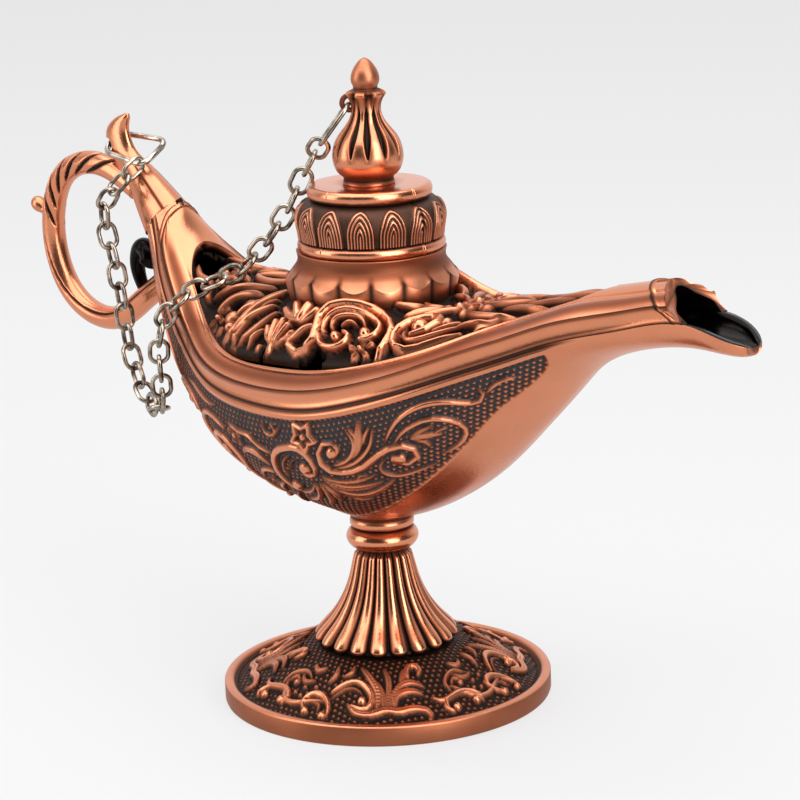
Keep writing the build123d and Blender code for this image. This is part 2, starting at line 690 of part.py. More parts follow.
def make_knob(loop):
    root = Vector(-TAIL_REACH - KNOB_SHARES[0] * LOOP_DEPTH, 0, level(KNOB_SHARES[1]))
    out = Vector(-cos(radians(KNOB_TILT)), 0, sin(radians(KNOB_TILT)))
    stalk_end = LOOP_RADIUS + KNOB_STALK_LENGTH
    stalk = Pos(0, 0, stalk_end / 2) * Cylinder(KNOB_STALK_RADIUS, stalk_end)
    ball = Pos(0, 0, stalk_end) * Sphere(KNOB_RADIUS)
    return Plane(origin=root, z_dir=out) * (stalk + ball) - loop


# Ring, end link and chain

def ring_half(share):
    return (RING_NARROW_WIDTH + share * (RING_WIDE_WIDTH - RING_NARROW_WIDTH)) / 2


def make_ring():
    # A bent triangle of wire whose short side passes through the horn's eye
    corners = [
        (0, -RING_NARROW_WIDTH / 2), (RING_LENGTH, -RING_WIDE_WIDTH / 2),
        (RING_LENGTH, RING_WIDE_WIDTH / 2), (0, RING_NARROW_WIDTH / 2),
    ]
    path = ring_plane * FilletPolyline(*corners, radius=RING_BEND_RADIUS, close=True)
    wire = swept_round(path, RING_WIRE_RADIUS, WIRE_SIDES)
    gap = ring_plane * Pos(RING_LENGTH, RING_WIDE_WIDTH / 4) * Box(
        4 * RING_WIRE_RADIUS, RING_SPLIT, 4 * RING_WIRE_RADIUS)
    return wire - gap


def make_link(pitch, width):
    # A facetted oval of wire along X, open by one pitch inside, in two mirrored halves
    end_radius = (width - LINK_WIRE) / 2
    straight = (pitch + LINK_CLEARANCE + LINK_WIRE) / 2 - end_radius
    stops = [(0, end_radius, 0)]
    for i in range(LINK_END_SIDES):
        turn = pi * (i + 0.5) / LINK_END_SIDES
        reach = end_radius / cos(pi / (2 * LINK_END_SIDES))
        stops.append((straight + reach * sin(turn), reach * cos(turn), turn))
    stops.append((0, -end_radius, pi))
    faces = []
    for x, y, turn in stops:
        plane = Plane(origin=(x, y, 0), x_dir=(0, 0, 1), z_dir=(cos(turn), -sin(turn), 0))
        faces.append(plane * RegularPolygon(LINK_WIRE / 2, LINK_WIRE_SIDES))
    half = loft(faces, ruled=True)
    return half + mirror(half, about=Plane.YZ)


def place_link(link, start, end, across):
    middle = (start + end) / 2
    direction = (end - start).normalized()
    flat = (across - direction * across.dot(direction)).normalized()
    return Plane(origin=middle, x_dir=direction, z_dir=direction.cross(flat)) * link


def chain_stops():
    # Points a pitch apart where each link meets the next
    hook = ring_plane.from_local_coords(
        Vector(RING_HOOK_SHARE * RING_LENGTH, -ring_half(RING_HOOK_SHARE)))
    lid_height = LID_TOP_Z - LID_BASE_Z
    points = [Vector(x * TAIL_REACH, y * HALF_BEAM, level(z)) for x, y, z in sag_shares]
    for x, y, z in climb_shares:
        points.append(Vector(x * LID_DRUM_RADIUS, y * LID_DRUM_RADIUS,
                             LID_BASE_Z + z * lid_height))
    first = (hook - points[0]).normalized() * RING_WIRE_RADIUS
    last = end_link_tip
    route = Spline(hook + first, *points, last)
    count = round(route.length / LINK_PITCH)
    return [route @ (i / count) for i in range(count + 1)]


def chain_links():
    stops = chain_stops()
    ring_way = ring_plane.x_dir
    across = (stops[1] - stops[0]).normalized().cross(ring_way).normalized()
    link = make_link(LINK_PITCH, LINK_WIDTH)
    # Carry the first link's width direction along without twist, then spread the twist that
    # the end link asks for over all the links.
    carried = []
    for start, end in zip(stops, stops[1:]):
        way = (end - start).normalized()
        across = (across - way * across.dot(way)).normalized()
        carried.append((start, end, way, across))
    way, across = carried[-1][2:]
    wanted = way.cross(end_link_plane.y_dir).normalized()
    if len(carried) % 2 == 0:
        wanted = way.cross(wanted)
    twist = atan2(way.cross(across).dot(wanted), across.dot(wanted))
    if twist > pi / 2:
        twist -= pi
    if twist < -pi / 2:
        twist += pi
    links = []
    for i, (start, end, way, across) in enumerate(carried):
        turn = twist * i / (len(carried) - 1) + (i % 2) * pi / 2
        flat = across * cos(turn) + way.cross(across) * sin(turn)
        links.append(place_link(link, start, end, flat))
    return links


def save(solid, name):
    export_step(solid, "parts/" + name + ".step")


ring_side = Vector(0, cos(radians(RING_ROLL)), sin(radians(RING_ROLL)))
ring_reach = Vector(cos(radians(RING_SLOPE)), 0, -sin(radians(RING_SLOPE)))
ring_reach = (ring_reach - ring_side * ring_reach.dot(ring_side)).normalized()
ring_plane = Plane(
    origin=(HORN_EYE_SHARES[0] * TAIL_REACH, 0, level(HORN_EYE_SHARES[1])),
    x_dir=ring_reach, z_dir=ring_reach.cross(ring_side))

# The finial's eye stands out toward the chain, and the end link hangs from it.
outward = Vector(-cos(radians(CHAIN_TURN)), -sin(radians(CHAIN_TURN)), 0)
eye_centre = outward * (FINIAL_EYE_SHARES[0] * FINIAL_RADIUS) + Vector(
    0, 0, finial_z(FINIAL_EYE_SHARES[1]))
eye_plane = Plane(origin=eye_centre, x_dir=outward, z_dir=outward.cross(Vector(0, 0, 1)))
slope = radians(END_LINK_SLOPE)
end_link_way = outward * cos(slope) - Vector(0, 0, sin(slope))
end_link_top = eye_centre + end_link_way * (EYE_RADIUS - EYE_WIRE_RADIUS - LINK_CLEARANCE)
end_link_tip = end_link_top + end_link_way * END_LINK_PITCH
end_link_plane = Plane(origin=(end_link_top + end_link_tip) / 2, x_dir=end_link_way,
                       z_dir=end_link_way.cross(eye_plane.z_dir))

os.makedirs("parts", exist_ok=True)

hull = loft([bowl_section(row) for row in hull_shares])
bowl_near, bowl_far = halves(make_bowl(hull))
lid_near, lid_far = halves(make_lid())
horn = make_horn()
loop = make_loop(horn, hull)
links = chain_links()
fall_end = round(FALL_LINKS_SHARE * len(links))
rise_end = round(RISE_LINKS_SHARE * len(links))
plate_z = LID_DISC_Z
washer_z = plate_z - STUD_WASHER_THICKNESS
nut_z = washer_z - STUD_NUT_HEIGHT
stud_bore = STUD_RADIUS + THREAD_CLEARANCE

save(make_foot(), "foot")
save(make_stem(), "fluted_stem")
save(make_collar(), "stem_collar")
save(make_bolt(), "tie_bolt")
save(make_washer(), "tie_washer")
save(make_nut(NUT_WIDTH, BOLT_RADIUS + THREAD_CLEARANCE, NUT_SEAT_Z, NUT_SEAT_Z + NUT_HEIGHT),
     "tie_nut")
save(bowl_near, "bowl_near")
save(bowl_far, "bowl_far")
save(make_cover(), "cover")
save(make_deck(), "deck_scrollwork")
save(make_neck(), "neck_collar")
save(lid_near, "lid_near")
save(lid_far, "lid_far")
save(make_finial(), "finial")
save(disc(STUD_RADIUS, STUD_BASE_Z, STUD_TOP_Z), "finial_stud")
save(disc(STUD_WASHER_RADIUS, washer_z, plate_z) - disc(stud_bore, washer_z, plate_z),
     "finial_washer")
save(make_nut(STUD_NUT_WIDTH, stud_bore, nut_z, washer_z), "finial_nut")
save(horn, "tail_horn")
save(loop, "handle_loop")
save(make_scroll(loop, hull), "handle_scroll")
save(make_knob(loop), "loop_knob")
save(make_ring(), "split_ring")
save(end_link_plane * make_link(END_LINK_PITCH, END_LINK_WIDTH), "end_link")
save(Compound(links[:fall_end]), "chain_fall")
save(Compound(links[fall_end:rise_end]), "chain_rise")
save(Compound(links[rise_end:]), "chain_span")
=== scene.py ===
import math

import bpy
import numpy as np
from mathutils import Matrix, Vector


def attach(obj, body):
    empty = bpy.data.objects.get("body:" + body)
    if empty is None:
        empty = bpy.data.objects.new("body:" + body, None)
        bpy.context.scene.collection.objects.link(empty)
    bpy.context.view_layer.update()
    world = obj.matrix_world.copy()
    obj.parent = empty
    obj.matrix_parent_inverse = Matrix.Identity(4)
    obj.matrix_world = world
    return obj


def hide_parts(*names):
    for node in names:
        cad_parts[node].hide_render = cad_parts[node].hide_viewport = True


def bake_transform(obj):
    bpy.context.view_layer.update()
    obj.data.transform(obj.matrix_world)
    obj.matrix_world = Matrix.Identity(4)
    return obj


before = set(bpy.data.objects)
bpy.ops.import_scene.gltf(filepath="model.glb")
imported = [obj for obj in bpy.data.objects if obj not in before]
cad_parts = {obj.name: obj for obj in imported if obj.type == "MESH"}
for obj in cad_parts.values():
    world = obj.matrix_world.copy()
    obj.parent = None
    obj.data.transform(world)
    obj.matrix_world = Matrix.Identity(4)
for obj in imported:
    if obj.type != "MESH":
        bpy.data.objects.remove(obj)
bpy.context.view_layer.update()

MM = 0.001
scene = bpy.context.scene
scene.view_settings.view_transform = "Standard"

# The studio: a pale table that runs on without an edge, large soft lamps, and the camera at the
# photograph's height, a little above the rim of the bowl and nearer to the spout.
AZIMUTH, ELEVATION, ROLL = math.radians(43.0), math.radians(14.64), math.radians(2.1)
AIM_ASIDE, AIM_HEIGHT, EYE_DISTANCE = 4.756 * MM, 63.97 * MM, 638.2 * MM
FOCAL_LENGTH, SENSOR_WIDTH = 136.8, 36.0
back = Vector((math.sin(AZIMUTH) * math.cos(ELEVATION), -math.cos(AZIMUTH) * math.cos(ELEVATION),
               math.sin(ELEVATION)))
right = Vector((math.cos(AZIMUTH), math.sin(AZIMUTH), 0))
up = back.cross(right)
eye = right * AIM_ASIDE + Vector((0, 0, AIM_HEIGHT)) + back * EYE_DISTANCE
tilted = Matrix((right * math.cos(ROLL) - up * math.sin(ROLL),
                 right * math.sin(ROLL) + up * math.cos(ROLL), back)).transposed().to_4x4()
camera = bpy.data.objects.new("camera", bpy.data.cameras.new("camera"))
camera.matrix_world = Matrix.Translation(eye) @ tilted
camera.data.lens, camera.data.sensor_width = FOCAL_LENGTH, SENSOR_WIDTH
camera.data.clip_start, camera.data.clip_end = 0.01, 20
scene.collection.objects.link(camera)
scene.camera = camera


def lamp(name, place, aim, size, power):
    """A soft white lamp of the given width and height in metres, turned to the point aim."""
    light = bpy.data.lights.new(name, "AREA")
    light.shape, light.size, light.size_y = "RECTANGLE", size[0], size[1]
    light.energy = power
    shown = bpy.data.objects.new(name, light)
    shown.location = place
    shown.rotation_euler = (Vector(place) - Vector(aim)).to_track_quat("Z", "Y").to_euler()
    scene.collection.objects.link(shown)


lamp("top_softbox", (0.05, -0.10, 0.75), (0, 0, 0.06), (1.00, 1.00), 8)
lamp("left_softbox", (-0.55, -0.75, 0.40), (0, 0, 0.07), (0.50, 0.90), 4)
lamp("right_softbox", (0.85, -0.20, 0.40), (0, 0, 0.07), (0.60, 1.00), 9)

table_mesh = bpy.data.meshes.new("table")
table_mesh.from_pydata([(-4, -4, 0), (4, -4, 0), (4, 4, 0), (-4, 4, 0)], [], [(0, 1, 2, 3)])
table = bpy.data.objects.new("table", table_mesh)
scene.collection.objects.link(table)
paper = bpy.data.materials.new("paper")
paper.use_nodes = True
tree = paper.node_tree
tree.nodes.clear()
seen = tree.nodes.new("ShaderNodeLightPath")
mirrored = tree.nodes.new("ShaderNodeMath")
mirrored.operation = "MULTIPLY"
mirrored.inputs[1].default_value = 0.85
tree.links.new(seen.outputs["Is Glossy Ray"], mirrored.inputs[0])
either = tree.nodes.new("ShaderNodeMath")
either.operation = "MAXIMUM"
tree.links.new(seen.outputs["Is Camera Ray"], either.inputs[0])
tree.links.new(mirrored.outputs[0], either.inputs[1])
matt = tree.nodes.new("ShaderNodeBsdfPrincipled")
matt.inputs["Base Color"].default_value = (0.13, 0.13, 0.134, 1)
matt.inputs["Roughness"].default_value = 0.9
glow = tree.nodes.new("ShaderNodeMath")
glow.operation = "MULTIPLY"
glow.inputs[1].default_value = 0.68
tree.links.new(either.outputs[0], glow.inputs[0])
tree.links.new(glow.outputs[0], matt.inputs["Emission Strength"])
matt.inputs["Emission Color"].default_value = (1, 1, 1, 1)
out = tree.nodes.new("ShaderNodeOutputMaterial")
tree.links.new(matt.outputs[0], out.inputs["Surface"])
table_mesh.materials.append(paper)

world = bpy.data.worlds.new("studio")
world.use_nodes = True
scene.world = world
tree = world.node_tree
tree.nodes.clear()
seen = tree.nodes.new("ShaderNodeLightPath")
direct = tree.nodes.new("ShaderNodeBackground")
direct.inputs["Color"].default_value = (0.86, 0.87, 0.89, 1)
direct.inputs["Strength"].default_value = 1.0
place = tree.nodes.new("ShaderNodeTexCoord")
behind = tree.nodes.new("ShaderNodeVectorMath")
behind.operation = "DOT_PRODUCT"
behind.inputs[1].default_value = (-0.66, 0.71, 0.26)
tree.links.new(place.outputs["Generated"], behind.inputs[0])
fade = tree.nodes.new("ShaderNodeValToRGB")
fade.color_ramp.elements[0].position, fade.color_ramp.elements[0].color = 0.05, (0.06, 0.06, 0.06, 1)
fade.color_ramp.elements[1].position, fade.color_ramp.elements[1].color = 0.70, (0.95, 0.96, 0.98, 1)
tree.links.new(behind.outputs["Value"], fade.inputs[0])
around = tree.nodes.new("ShaderNodeBackground")
tree.links.new(fade.outputs[0], around.inputs["Color"])
around.inputs["Strength"].default_value = 1.0
choose = tree.nodes.new("ShaderNodeMixShader")
tree.links.new(seen.outputs["Is Camera Ray"], choose.inputs[0])
tree.links.new(around.outputs[0], choose.inputs[1])
tree.links.new(direct.outputs[0], choose.inputs[2])
out = tree.nodes.new("ShaderNodeOutputWorld")
tree.links.new(choose.outputs[0], out.inputs["Surface"])


# The foot: a round zinc casting, hollow underneath, with an upright rim and a low dome. It is
# plated with antique copper. The dome's ground is oxidised nearly black under raised scrolls,
# and the rim is brushed bright. The bolt's head holds it from below.
def grid_faces(rows, columns, ring_rows=False, ring_columns=False, first=0):
    """Quads between neighbouring points of a grid, closed round where a direction is a ring."""
    i = np.arange(rows if ring_rows else rows - 1)[:, None]
    j = np.arange(columns if ring_columns else columns - 1)[None, :]
    low, high = i * columns, (i + 1) % rows * columns
    corners = np.stack([low + j, low + (j + 1) % columns, high + (j + 1) % columns, high + j], -1)
    return corners.reshape(-1, 4) + first


def make_piece(name, points, faces, finish, body, wear_and_shade=None, stands_for=(), caps=()):
    """An object at the origin from points in millimetres, quads, and any many-sided caps."""
    mesh = bpy.data.meshes.new(name)
    points = np.asarray(points, float).reshape(-1, 3) * MM
    faces = np.asarray(faces, int).reshape(-1, 4)
    loops = np.concatenate([faces.ravel(), *[np.asarray(cap, int) for cap in caps]])
    counts = np.concatenate([np.full(len(faces), 4), [len(cap) for cap in caps]]).astype(int)
    starts = np.concatenate([[0], np.cumsum(counts)[:-1]])
    mesh.vertices.add(len(points))
    mesh.vertices.foreach_set("co", points.ravel())
    mesh.loops.add(len(loops))
    mesh.loops.foreach_set("vertex_index", loops)
    mesh.polygons.add(len(counts))
    mesh.polygons.foreach_set("loop_start", starts)
    mesh.polygons.foreach_set("loop_total", counts)
    mesh.polygons.foreach_set("use_smooth", np.ones(len(counts), bool))
    if wear_and_shade is not None:
        layer = mesh.attributes.new("wear_and_shade", "FLOAT", "POINT")
        layer.data.foreach_set("value", np.asarray(wear_and_shade, float).ravel())
    mesh.update(calc_edges=True)
    mesh.validate()
    made = bpy.data.objects.new(name, mesh)
    scene.collection.objects.link(made)
    mesh.materials.append(finish)
    if stands_for:
        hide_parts(*stands_for)
    if body:
        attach(made, body)
    return made


def through(knots, rows, at):
    """Natural cubic spline: at each place in at, the row that a smooth curve through the rows
    has there. The second derivatives solve one tridiagonal system."""
    knots, rows, at = (np.asarray(part, float) for part in (knots, rows, at))
    flat = rows.reshape(len(knots), -1)
    h = np.diff(knots)
    slope = np.diff(flat, axis=0) / h[:, None]
    i = np.arange(1, len(knots) - 1)
    system = np.eye(len(knots))
    system[i, i - 1], system[i, i], system[i, i + 1] = h[:-1], 2 * (h[:-1] + h[1:]), h[1:]
    bend = np.zeros_like(flat)
    bend[1:-1] = 6 * np.diff(slope, axis=0)
    bend = np.linalg.solve(system, bend)
    j = np.clip(np.searchsorted(knots, at, side="right") - 1, 0, len(h) - 1)
    u, step = (at - knots[j])[:, None], h[j][:, None]
    value = (flat[j] + u * (slope[j] - step * (2 * bend[j] + bend[j + 1]) / 6)
             + u ** 2 * bend[j] / 2 + u ** 3 * (bend[j + 1] - bend[j]) / (6 * step))
    return value.reshape((len(at),) + rows.shape[1:])


def smooth_line(points, count):
    """Points evenly spaced along a smooth curve through the given ones."""
    points = np.asarray(points, float)
    run = np.concatenate([[0], np.cumsum(np.linalg.norm(np.diff(points, axis=0), axis=1))])
    fine = through(run, points, np.linspace(0, run[-1], 8 * count))
    walk = np.concatenate([[0], np.cumsum(np.linalg.norm(np.diff(fine, axis=0), axis=1))])
    even = np.linspace(0, walk[-1], count)
    return np.stack([np.interp(even, walk, column) for column in fine.T], -1)


def turned(outline, count):
    """A profile of radii and heights carried round the lamp's axis."""
    outline = np.asarray(outline, float)
    turn = np.linspace(0, 2 * np.pi, count, endpoint=False)
    r, z = outline[:, :1], outline[:, 1:]
    return np.stack([r * np.cos(turn), r * np.sin(turn), z + 0 * turn], -1)


def normals(points, ring_rows=False, ring_columns=False):
    """Unit normals of a grid: the cross product of its two directions."""
    def along(axis, ring):
        if not ring:
            return np.gradient(points, axis=axis)
        return (np.roll(points, -1, axis) - np.roll(points, 1, axis)) / 2
    cross = np.cross(along(1, ring_columns), along(0, ring_rows))
    return cross / np.maximum(np.linalg.norm(cross, axis=-1, keepdims=True), 1e-12)


def aged_copper_group():
    """Copper plating: bright where the value is 1, brown at the middle and black where it is 0,
    with cloudy mottling and the grain of a casting. The value is wear (rubbed bright, patina
    black) and, on some pieces, painted shade. The black is a little less metallic."""
    group = bpy.data.node_groups.new("aged_copper", "ShaderNodeTree")
    for label, kind, value in (
            ("Wear and shade", "NodeSocketFloat", 0.8), ("Bright", "NodeSocketColor", (0.82, 0.31, 0.165, 1)),
            ("Brown", "NodeSocketColor", (0.25, 0.075, 0.035, 1)),
            ("Black", "NodeSocketColor", (0.020, 0.012, 0.009, 1)),
            ("Gloss", "NodeSocketFloat", 0.26), ("Dull", "NodeSocketFloat", 0.55),
            ("Mottling", "NodeSocketFloat", 0.16)):
        socket = group.interface.new_socket(name=label, in_out="INPUT", socket_type=kind)
        socket.default_value = value
    for label, kind in (("Color", "NodeSocketColor"), ("Roughness", "NodeSocketFloat"),
                        ("Metallic", "NodeSocketFloat"), ("Height", "NodeSocketFloat")):
        group.interface.new_socket(name=label, in_out="OUTPUT", socket_type=kind)
    nodes, links = group.nodes, group.links
    given, result = nodes.new("NodeGroupInput"), nodes.new("NodeGroupOutput")
    where = nodes.new("ShaderNodeTexCoord")
    cloud, grain = nodes.new("ShaderNodeTexNoise"), nodes.new("ShaderNodeTexNoise")
    cloud.inputs["Scale"].default_value, cloud.inputs["Detail"].default_value = 110, 7
    grain.inputs["Scale"].default_value, grain.inputs["Detail"].default_value = 1500, 3
    links.new(where.outputs["Object"], cloud.inputs["Vector"])
    links.new(where.outputs["Object"], grain.inputs["Vector"])
    centred = nodes.new("ShaderNodeMath")
    centred.operation = "SUBTRACT"
    centred.inputs[1].default_value = 0.5
    links.new(cloud.outputs["Fac"], centred.inputs[0])
    mottled = nodes.new("ShaderNodeMath")
    mottled.operation = "MULTIPLY_ADD"
    links.new(centred.outputs[0], mottled.inputs[0])
    links.new(given.outputs["Mottling"], mottled.inputs[1])
    links.new(given.outputs["Wear and shade"], mottled.inputs[2])
    low, high = nodes.new("ShaderNodeMapRange"), nodes.new("ShaderNodeMapRange")
    for node, start, end in ((low, 0.0, 0.45), (high, 0.35, 1.0)):
        node.interpolation_type = "SMOOTHSTEP"
        node.inputs["From Min"].default_value, node.inputs["From Max"].default_value = start, end
        links.new(mottled.outputs[0], node.inputs["Value"])
    first, second = nodes.new("ShaderNodeMix"), nodes.new("ShaderNodeMix")
    first.data_type = second.data_type = "RGBA"
    links.new(low.outputs["Result"], first.inputs["Factor"])
    links.new(given.outputs["Black"], first.inputs["A"])
    links.new(given.outputs["Brown"], first.inputs["B"])
    links.new(high.outputs["Result"], second.inputs["Factor"])
    links.new(first.outputs["Result"], second.inputs["A"])
    links.new(given.outputs["Bright"], second.inputs["B"])
    links.new(second.outputs["Result"], result.inputs["Color"])
    rough, metal = nodes.new("ShaderNodeMix"), nodes.new("ShaderNodeMapRange")
    links.new(high.outputs["Result"], rough.inputs["Factor"])
    links.new(given.outputs["Dull"], rough.inputs["A"])
    links.new(given.outputs["Gloss"], rough.inputs["B"])
    links.new(rough.outputs["Result"], result.inputs["Roughness"])
    metal.inputs["To Min"].default_value = 0.9
    links.new(low.outputs["Result"], metal.inputs["Value"])
    links.new(metal.outputs["Result"], result.inputs["Metallic"])
    links.new(grain.outputs["Fac"], result.inputs["Height"])
    return group


aged_copper = aged_copper_group()


def copper(name, wear_and_shade=None, grain=0.08, **values):
    """A copper finish whose wear, and on some pieces painted shade, comes from the piece's own
    attribute of wear and shade, or is one number.
    """
    finish = bpy.data.materials.new(name)
    finish.use_nodes = True
    nodes, links = finish.node_tree.nodes, finish.node_tree.links
    metal = nodes["Principled BSDF"]
    age = nodes.new("ShaderNodeGroup")
    age.node_tree = aged_copper
    if wear_and_shade is None:
        layer = nodes.new("ShaderNodeAttribute")
        layer.attribute_name = "wear_and_shade"
        links.new(layer.outputs["Fac"], age.inputs["Wear and shade"])
    else:
        age.inputs["Wear and shade"].default_value = wear_and_shade
    for label, value in values.items():
        age.inputs[label].default_value = value
    bump = nodes.new("ShaderNodeBump")
    bump.inputs["Strength"].default_value, bump.inputs["Distance"].default_value = grain, 0.0003
    links.new(age.outputs["Color"], metal.inputs["Base Color"])
    links.new(age.outputs["Roughness"], metal.inputs["Roughness"])
    links.new(age.outputs["Metallic"], metal.inputs["Metallic"])
    links.new(age.outputs["Height"], bump.inputs["Height"])
    links.new(bump.outputs["Normal"], metal.inputs["Normal"])
    return finish


def strand(points, width, lift, start=0.4, end=0.4, hollow=0.0, count=16):
    """One raised line of the ornament, on a smooth curve through the points. Its half-width
    swells as the root of a sine from the share start to the share end, and its height follows."""
    line = smooth_line(points, count) if len(points) > 2 else np.asarray(points, float)
    part = np.linspace(0, 1, len(line))
    swell = np.sqrt(np.sin(np.pi * np.clip(part, 0, 1)))
    ends = np.where(part < 0.5, start, end)
    share = ends + (1 - ends) * swell
    return line, width * share, lift * (0.45 + 0.55 * share), hollow


def ball(x, y, radius, lift):
    """A bead at the end of a volute: a line of no length."""
    return np.array([[x, y], [x, y]], float), np.full(2, radius), np.full(2, lift), 0.0


def blossom(x, y, radius, lift, petals=5, turn=0.3):
    """Round petals on a ring about a bead."""
    parts = [ball(x, y, 0.26 * radius, lift)]
    for i in range(petals):
        way = turn + 2 * math.pi * i / petals
        near, far = 0.45 * radius, 0.72 * radius
        ends = [(x + r * math.cos(way), y + r * math.sin(way)) for r in (near, far)]
        parts.append((np.array(ends), np.array([0.24, 0.34]) * radius,
                      np.array([0.7, 0.85]) * lift, 0.45))
    return parts


def raised(a, b, strands):
    """Height over the ground. At each point it is the highest of all strands, and a strand is half
    round: its lift times the root of one less the square of distance over half-width. A hollow
    strand has a furrow along its middle, a bell curve of that share of the height."""
    height, across, down = np.zeros(a.size), a.ravel(), b.ravel()
    for line, half, lift, hollow in strands:
        reach = half.max()
        low, high = line.min(0) - reach, line.max(0) + reach
        inside = np.flatnonzero((across > low[0]) & (across < high[0])
                                & (down > low[1]) & (down < high[1]))
        if len(inside) == 0:
            continue
        spot = np.stack([across[inside], down[inside]], -1)[:, None]
        start, way = line[:-1], np.diff(line, axis=0)
        share = ((spot - start) * way).sum(-1) / np.maximum((way ** 2).sum(-1), 1e-9)
        share = np.clip(share, 0, 1)
        off = np.linalg.norm(spot - start - share[..., None] * way, axis=-1)
        off = off / (half[:-1] + share * np.diff(half))
        tall = (lift[:-1] + share * np.diff(lift)) * np.sqrt(np.clip(1 - off ** 2, 0, 1))
        tall = tall * (1 - hollow * np.exp(-(off / 0.28) ** 2))
        height[inside] = np.maximum(height[inside], tall.max(1))
    return height.reshape(a.shape)


def stippled(a, b, pitch, radius, lift):
    """A field of small beads on a triangular lattice: two square-cornered lattices, the second
    half a step over, and a dome of the given radius about the nearest point of either."""
    rise = pitch * math.sqrt(3)
    def off(shift):
        x = (a / pitch + shift + 0.5) % 1 - 0.5
        y = (b / rise + shift + 0.5) % 1 - 0.5
        return np.hypot(x * pitch, y * rise)
    near = np.minimum(off(0), off(0.5))
    return lift * np.sqrt(np.clip(1 - (near / radius) ** 2, 0, 1))


def bolder(strands, width, height):
    """The same lines, this much wider and higher."""
    return [(line, half * width, lift * height, hollow) for line, half, lift, hollow in strands]


def rotated(strands, turn):
    """The same lines turned about the lamp's axis."""
    c, s = math.cos(turn), math.sin(turn)
    return [(line @ np.array([[c, s], [-s, c]]), half, lift, hollow)
            for line, half, lift, hollow in strands]


foot_copper = copper("foot_copper", Gloss=0.24)
FOOT_GROUND, FOOT_TOP, FOOT_STEPS = 32.4, 14.5, 560


def polar(*points):
    """Plan points from the angle in degrees and the distance from the lamp's axis."""
    return [(r * math.cos(math.radians(t)), r * math.sin(math.radians(t))) for t, r in points]


# A quarter of the dome's ornament, as angle from its middle and distance from the axis. A broad
# stem ends in a volute, long leaves reach up to the flutes, and an S and a C scroll follow.
foot_quarter = [
    strand(polar((-28, 24.8), (-23, 22.6), (-16, 21.9), (-9, 24.0), (-7.5, 26.4), (-10, 28.2),
                 (-16, 27.4)), 0.75, 1.2, 0.5, 0.6), ball(*polar((-12, 26.2))[0], 1.0, 1.35),
    strand(polar((-27, 26.2), (-24, 24.4), (-17, 23.4), (-12.5, 24.4)), 0.4, 0.8),
    strand(polar((-17, 27.6), (-13, 29.2), (-7, 29.4), (-1, 28.4), (4, 28.9), (9, 28.4),
                 (14, 28.8), (17, 29.8), (16, 31.6)), 0.95, 1.2, 0.6, 0.5, 0.25),
    strand(polar((-5, 28.2), (-4.5, 25.0), (-9, 21.2), (-18, 17.7)), 0.9, 1.1, 0.5, 0.2, 0.45),
    strand(polar((-2, 27.6), (-2.5, 24.6), (-6, 22.2), (-13, 20.8)), 0.75, 1.0, 0.5, 0.2, 0.4),
    strand(polar((0, 27.6), (0.5, 24.5), (0.5, 21.0), (-2.5, 18.0)), 0.8, 1.0, 0.5, 0.2, 0.4),
    strand(polar((3, 28.0), (4.5, 25.2), (12, 24.2), (17, 25.2)), 0.85, 1.1, 0.5, 0.3, 0.4),
    strand(polar((2, 27.4), (4.0, 24.0), (11, 22.2), (19, 23.6)), 0.8, 1.1, 0.5, 0.3, 0.4),
    strand(polar((7, 22.6), (9.0, 20.6), (10, 18.8)), 0.9, 1.0, 0.3, 0.3, 0.3),
    strand(polar((12, 21.2), (12, 19.2), (17, 18.0), (20, 19.4), (18, 20.6)), 0.85, 1.1, 0.4, 0.5),
    strand(polar((20, 26.2), (23, 27.4), (30, 26.9), (37, 26.6), (42, 28.2), (41.5, 29.8)), 0.75,
           1.15, 0.3, 0.6), ball(*polar((39.4, 29.2))[0], 1.0, 1.3),
    strand(polar((27, 27.2), (25.2, 28.4), (25, 29.9), (26.8, 30.7)), 0.7, 1.1, 0.6, 0.5),
    ball(*polar((28.9, 29.7))[0], 1.0, 1.3),
    strand(polar((31, 25.8), (30.5, 23.6), (35, 21.9), (40, 21.5), (45.7, 22.6)), 0.55, 0.95),
    strand(polar((33, 24.6), (36, 23.2), (40, 24.2)), 0.5, 0.9),
    ball(*polar((38.5, 24.4))[0], 0.8, 1.0),
    strand(polar((54, 29.8), (51.2, 28.4), (51, 26.8), (55, 25.6), (60, 26.2), (64, 28.2),
                 (65, 30.3)), 0.75, 1.15, 0.5, 0.5), ball(*polar((54.6, 30.1))[0], 0.95, 1.25),
    ball(*polar((63.0, 30.6))[0], 0.95, 1.25),
    strand(polar((56, 27.8), (59, 28.0), (60, 29.6)), 0.45, 0.8),
    strand(polar((-58, 24.4), (-55, 25.8), (-49, 28.6), (-43, 28.8), (-36, 27.6), (-29, 26.9)),
           0.7, 1.0, 0.4, 0.3),
    strand(polar((-52, 22.0), (-47, 23.6), (-41, 22.8)), 0.6, 0.95, 0.3, 0.4, 0.3),
    strand(polar((-50, 19.2), (-44, 20.6), (-40, 19.2)), 0.7, 1.0, 0.3, 0.3, 0.3),
    strand(polar((-33, 22.8), (-31, 20.6), (-33, 18.2)), 0.65, 1.0, 0.3, 0.3, 0.3),
    strand(polar((-26, 21.0), (-22, 19.6), (-22, 17.6)), 0.6, 0.95, 0.3, 0.3),
]
foot_quarter += [ball(*polar((t, r))[0], 0.62, 0.85) for t, r in (
    (-47, 26.4), (-43, 26.8), (-39, 26.2), (-35, 25.4), (-44, 24.8), (-38, 24.2), (-31, 25.4))]
foot_strands = []
for i in range(4):
    foot_strands += rotated(foot_quarter, math.radians(-47 + 90 * i))
foot_rim = [(30.6, 0.0), (34.4, 0.0), (34.85, 0.12), (35.0, 0.5), (35.0, 2.1), (35.0, 3.9),
            (34.85, 4.2), (34.4, 4.4), (33.7, 4.4), (33.2, 4.3), (32.75, 3.7), (32.4, 3.1)]
